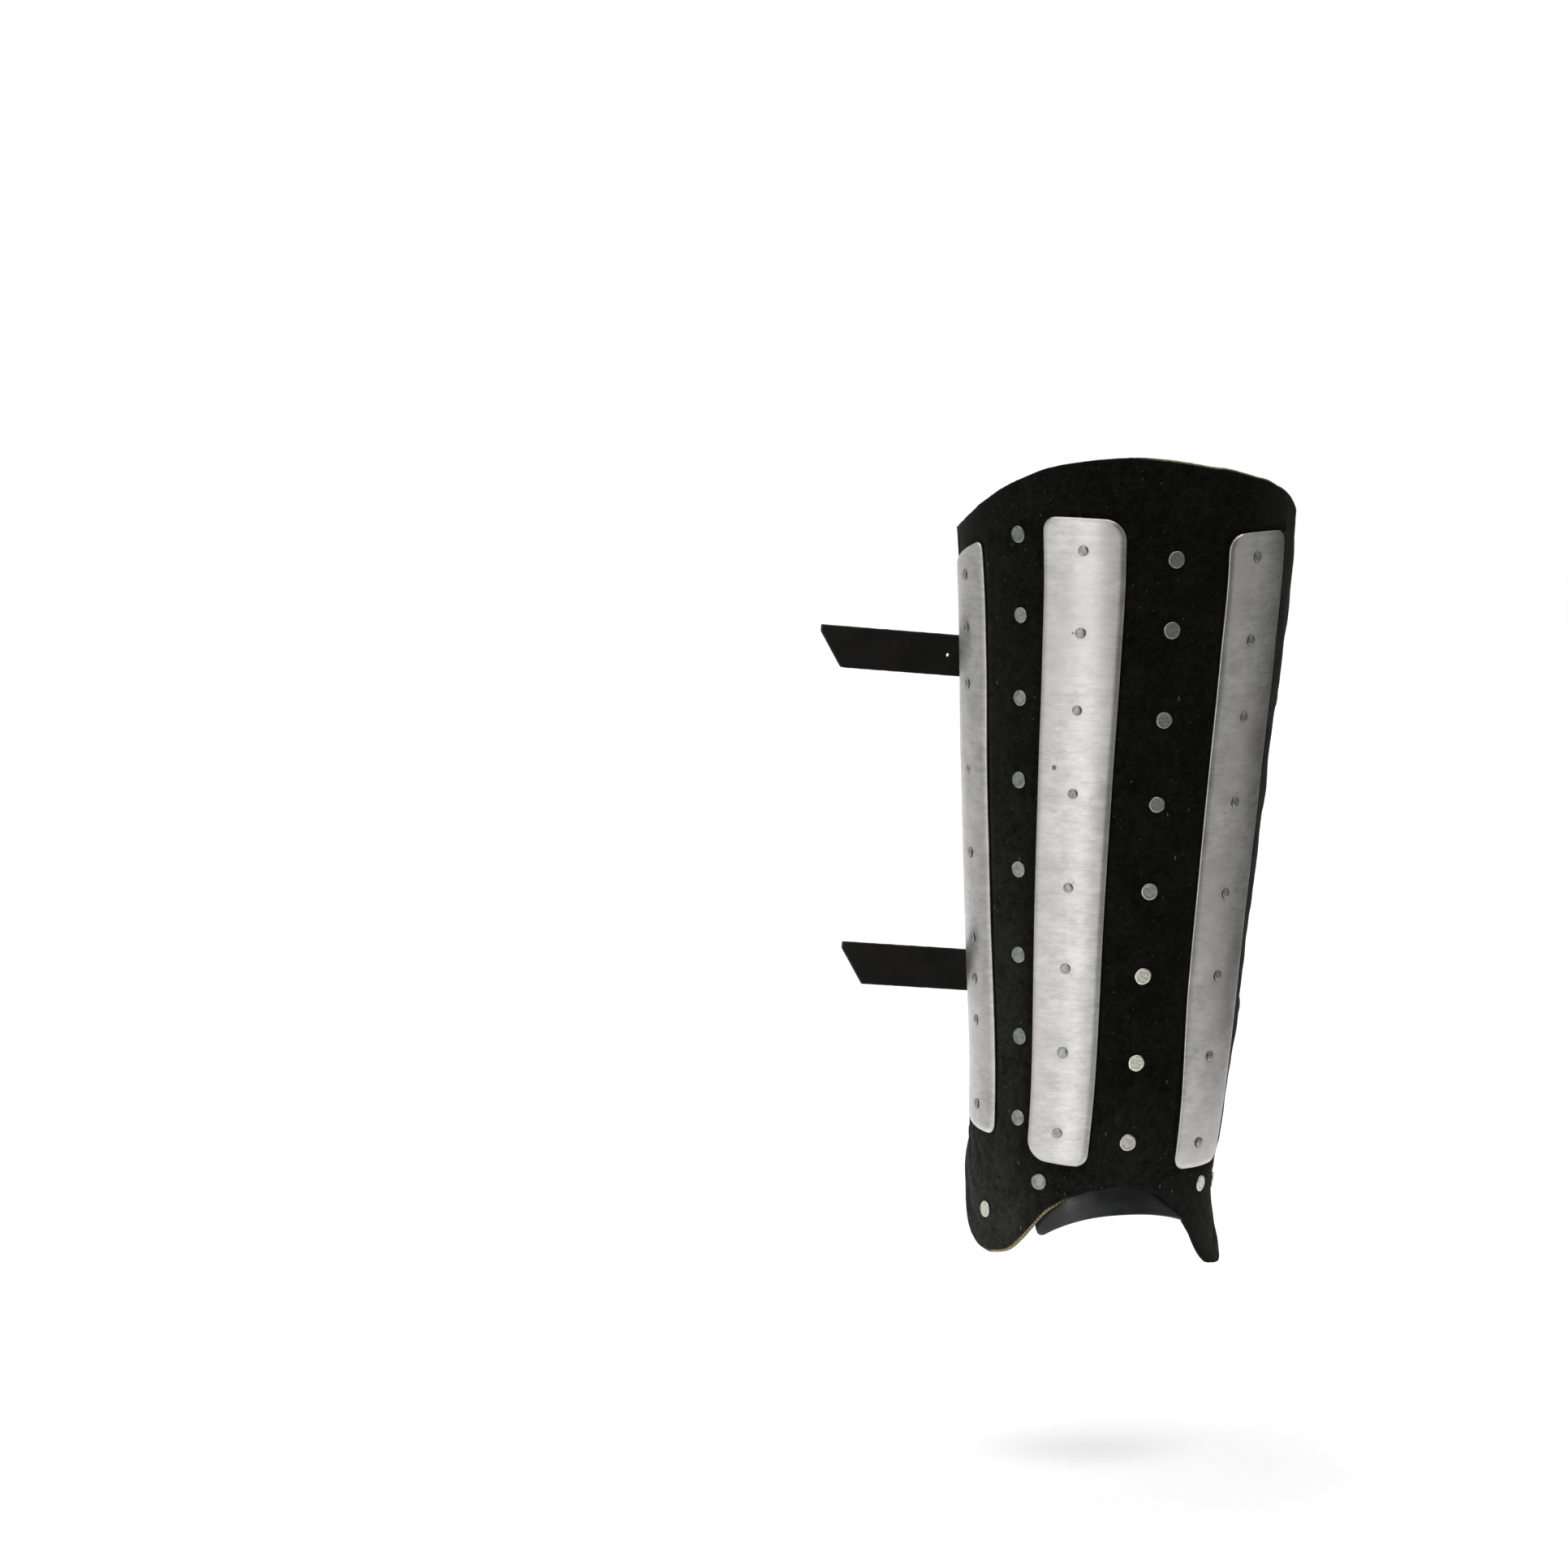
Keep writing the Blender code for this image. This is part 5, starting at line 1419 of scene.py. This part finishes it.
def steel_finish():
    """Steel brushed across each splint: the tone is a blend of scratches, bands and clouds.
    Over it lie warm smudges, a ring of painted shadow round each rivet and a few dark marks."""
    finish = Finish("crosswise_brushed_steel", (0.60, 0.595, 0.585), 0.34, 1.0)
    finish.set("Anisotropic", 0.6)
    finish.set("Anisotropic Rotation", 0.25)
    surface, place = finish.surface(), finish.place()
    tangent = finish.node("ShaderNodeTangent", {"direction_type": "UV_MAP", "uv_map": "surface"})
    finish.link(tangent.outputs["Tangent"], "Tangent")
    fine, strokes, bands, blotch, scuff = (
        finish.noise(finish.stretched(surface, (along, across, 1.0)), 1.0, detail, rough)
        for along, across, detail, rough in BRUSHING
    )
    warp = finish.noise(place, 30.0, 2.0)
    cloud = finish.noise(place, 70.0, 5.0, 0.6)
    drift = finish.noise(finish.stretched(place, (1.0, 1.0, 0.4)), 34.0)
    tone = finish.blend((strokes, 0.18), (cloud, 0.22), (fine, 0.14), (bands, 0.24), (blotch, 0.22))
    colour = finish.mix(finish.span(tone, *TONE_BAND), DULL_STEEL, BRIGHT_STEEL)
    colour = finish.mix(finish.span(drift, *SMUDGE_BAND), colour, WARM_SMUDGE)
    colour = finish.mix(finish.span(scuff, *SCUFF_BAND), colour, SCUFFED_STEEL)
    # Ring of painted shadow round each rivet head, in patches.
    near = finish.total(finish.mark("rivet"), finish.span(cloud, *RING_UNEVENNESS))
    ring = finish.product(finish.span(near, *RING_BAND), finish.span(drift, *RING_PATCHES))
    colour = finish.mix(ring, colour, PAINTED_RIVET_SHADOW)
    halo = finish.product(finish.span(near, *HALO_BAND), finish.span(strokes, *HALO_STREAKS))
    colour = finish.mix(halo, colour, HANDLED_STEEL)
    mark = finish.mark("spot")
    grit = finish.span(finish.noise(place, 1300.0, 3.0, 0.6), *MARK_UNEVENNESS)
    spot = finish.span(finish.total(mark, grit), *MARK_BAND)
    spot = finish.product(spot, finish.span(mark, *MARK_HOLLOW))
    colour = finish.mix(spot, colour, DARK_MARK)
    pits = finish.flecks(place, 75.0, 0.035)
    colour = finish.mix(finish.product(pits, PIT_STRENGTH), colour, PITTED_STEEL)
    finish.link(colour, "Base Color")
    gloss = finish.blend((cloud, 0.45), (strokes, 0.3), (warp, 0.25))
    height = finish.node("ShaderNodeSeparateXYZ", Vector=surface).outputs[1]
    duller = finish.span(height, *DULLER_UPWARDS)
    finish.link(finish.total(finish.span(gloss, *GLOSS_BAND), duller), "Roughness")
    flat_rim = finish.span(finish.mark("border"), *FLAT_RIM_BAND)
    scratches = finish.blend((fine, 0.4), (strokes, 0.6))
    finish.relief(finish.product(scratches, flat_rim), 0.000007, 0.5)
    return finish.material


def rivet_finish(name, pale, dull, clean, rough):
    """Zinc-plated steel dulled by handling: mottled by a blend of two noises, darker in the ring,
    with painted shadow under the rim, and paler where the rivet has been wiped clean."""
    finish = Finish(name, pale, rough, 1.0)
    place = finish.place()
    mottle = finish.noise(place, 1100.0, 4.0, 0.65)
    tone = finish.blend((mottle, 0.5), (finish.noise(place, 330.0), 0.5))
    tone = finish.span(tone, *MOTTLE_BAND)
    wiped = finish.product(finish.mark("clean"), finish.span(tone, *WIPED_BAND))
    colour = finish.mix(wiped, finish.mix(tone, dull, pale), clean)
    edge = finish.mark("edge")
    ring = finish.product(
        finish.span(edge, *RING_INNER_EDGE), finish.span(edge, *RING_OUTER_EDGE)
    )
    darker = tuple(RING_DARKNESS * value for value in dull)
    colour = finish.mix(finish.product(ring, RING_STRENGTH), colour, darker)
    # Painted shadow under the head's rim.
    under_rim = finish.product(finish.mark("low"), PAINTED_RIM_SHADOW_STRENGTH)
    finish.link(finish.mix(under_rim, colour, PAINTED_RIM_SHADOW), "Base Color")
    gloss = finish.span(tone, 0.0, 1.0, rough + DULL_ROUGHER, rough - PALE_SMOOTHER)
    finish.link(gloss, "Roughness")
    finish.relief(mottle, 0.00008, 0.6)
    return finish.material


def leather_finish(name, colour, worn, rough, scale, shine):
    """Smooth dyed leather: fine pebbled grain, slow changes of gloss and paler worn edges."""
    finish = Finish(name, colour, rough)
    finish.set("Specular IOR Level", shine)
    place = finish.place()
    cloud = finish.noise(place, 60.0, 4.0, 0.55)
    pebbles = finish.node("ShaderNodeTexVoronoi", {"feature": "SMOOTH_F1"}, Vector=place,
                          Scale=scale, Smoothness=0.6).outputs["Distance"]
    shade = finish.mix(finish.span(cloud, *HANDLED_BAND), colour, worn)
    rubbed = tuple(value * more for value, more in zip(worn, RUBBED_EDGE))
    rim = finish.product(finish.mark("rim"), RUBBED_STRENGTH)
    finish.link(finish.mix(rim, shade, rubbed), "Base Color")
    finish.link(finish.span(cloud, 0.3, 0.7, rough - GLOSSIER, rough + DULLER), "Roughness")
    grain = finish.blend((pebbles, 0.7), (finish.noise(place, 1400.0), 0.5))
    finish.relief(grain, 0.00012, 0.55)
    return finish.material


def floor_finish():
    """Matt white paint with a faint cloudiness."""
    finish = Finish("pale_floor_paint", (0.86, 0.86, 0.86), 0.85)
    cloud = finish.noise(finish.place(), 1.5)
    finish.link(finish.mix(cloud, (0.85, 0.85, 0.85), (0.88, 0.88, 0.88)), "Base Color")
    return finish.material


def add_object(name, data):
    """New object of this data, linked to the scene."""
    made = bpy.data.objects.new(name, data)
    bpy.context.scene.collection.objects.link(made)
    return made


def make_stage():
    """Pale floor, a wide overhead lamp and a soft one from the front left."""
    mesh = bpy.data.meshes.new("floor")
    corners = [(x, y, FLOOR_HEIGHT) for x, y in FLOOR_CORNERS]
    mesh.from_pydata(corners, [], [tuple(range(len(corners)))])
    mesh.materials.append(floor_finish())
    floor = add_object("floor", mesh)
    ceiling = bpy.data.lights.new("ceiling_light", "SUN")
    ceiling.energy = CEILING_ENERGY
    ceiling.angle = math.radians(CEILING_SPREAD)
    softbox = bpy.data.lights.new("key_softbox", "AREA")
    softbox.shape = "RECTANGLE"
    softbox.size, softbox.size_y = SOFTBOX_SIZE
    softbox.energy = SOFTBOX_ENERGY
    for light, place, aim in (
        (ceiling, CEILING_PLACE, CEILING_AIM),
        (softbox, SOFTBOX_PLACE, SOFTBOX_AIM),
    ):
        lamp = add_object(light.name, light)
        lamp.location = place
        lamp.rotation_mode = "QUATERNION"
        direction = Vector(aim) - Vector(place)
        lamp.rotation_quaternion = direction.to_track_quat("-Z", "Y")


def make_studio():
    """White surroundings that light the part unevenly: bright to the front left and behind,
    dark in front and to the outer side, as the ramp over the azimuth says. The camera sees
    plain white behind the part."""
    world = bpy.data.worlds.new("studio")
    world.use_nodes = True
    tree = world.node_tree
    nodes = Nodes(tree)
    where = nodes.node("ShaderNodeTexCoord").outputs["Generated"]
    side = nodes.node("ShaderNodeSeparateXYZ", Vector=where).outputs
    azimuth = nodes.math("ARCTAN2", side["X"], nodes.product(side["Y"], -1.0))
    ramp = nodes.node("ShaderNodeValToRGB", Fac=nodes.span(azimuth, -math.pi, math.pi))
    ramp.color_ramp.interpolation = "EASE"
    stops = ramp.color_ramp.elements
    while len(stops) < len(STUDIO):
        stops.new(0.5)
    for stop, (angle, strength) in zip(stops, STUDIO):
        stop.position = (angle + 180) / 360
        stop.color = (strength, strength, strength, 1.0)
    lit = tree.nodes["Background"]
    tree.links.new(ramp.outputs["Color"], lit.inputs["Color"])
    paper = nodes.node("ShaderNodeBackground", Color=(1.0, 1.0, 1.0, 1.0))
    seen = nodes.node("ShaderNodeLightPath").outputs["Is Camera Ray"]
    choice = nodes.node("ShaderNodeMixShader", _0=seen, _1=lit.outputs[0], _2=paper.outputs[0])
    tree.links.new(choice.outputs[0], tree.nodes["World Output"].inputs["Surface"])
    bpy.context.scene.world = world
    bpy.context.scene.view_settings.view_transform = "Standard"


def make_camera():
    """Camera in front of the part, looking along +Y and a little down."""
    lens = bpy.data.cameras.new("camera")
    lens.lens = CAMERA_LENS
    lens.sensor_width = SENSOR_WIDTH
    lens.clip_end = CAMERA_FAR
    camera = add_object("camera", lens)
    camera.location = CAMERA_PLACE
    camera.rotation_euler = (math.radians(90 - CAMERA_PITCH), 0.0, 0.0)
    bpy.context.scene.camera = camera


make_camera()
make_stage()
make_studio()
make_wall(suede_finish())
steel = steel_finish()
for number in range(len(SPLINTS)):
    make_splint(number, steel)
zinc = rivet_finish("dulled_zinc", *DULLED_ZINC)
peened = rivet_finish("peened_steel", *PEENED_STEEL)
under_wall = {node: STRAP_GAP + STRAP_THICKNESS for node in TAB_RIVETS + STRAP_RIVETS}
under_wall |= {node: INSTEP_GAP + INSTEP_THICKNESS for node in ARCH_RIVETS}
all_rivets = SMALL_RIVETS + WALL_RIVETS + ARCH_RIVETS + STRAP_RIVETS
for seed, node in enumerate(all_rivets, RIVET_FIRST_SEED):
    large = node not in SMALL_RIVETS
    depth = -(WALL_THICKNESS + under_wall.get(node, 0.0) + TAIL_GAP)
    make_rivet(node, large, depth, zinc if large else peened, seed)
make_instep(leather_finish("smooth_black_leather", *SMOOTH_BLACK))
strap_leather = leather_finish("strap_leather", *STRAP_BLACK)
for name, rivet_share, buckle_share, length_share, holes, rivets in STRAPS:
    buckle_height = CROWN_HEIGHT * buckle_share
    make_strap(name, CROWN_HEIGHT * rivet_share, buckle_height,
               STRAP_END_LENGTH * length_share, holes, strap_leather)
    make_tab(name, buckle_height, rivets, strap_leather)
    make_buckle(name, buckle_height, peened)
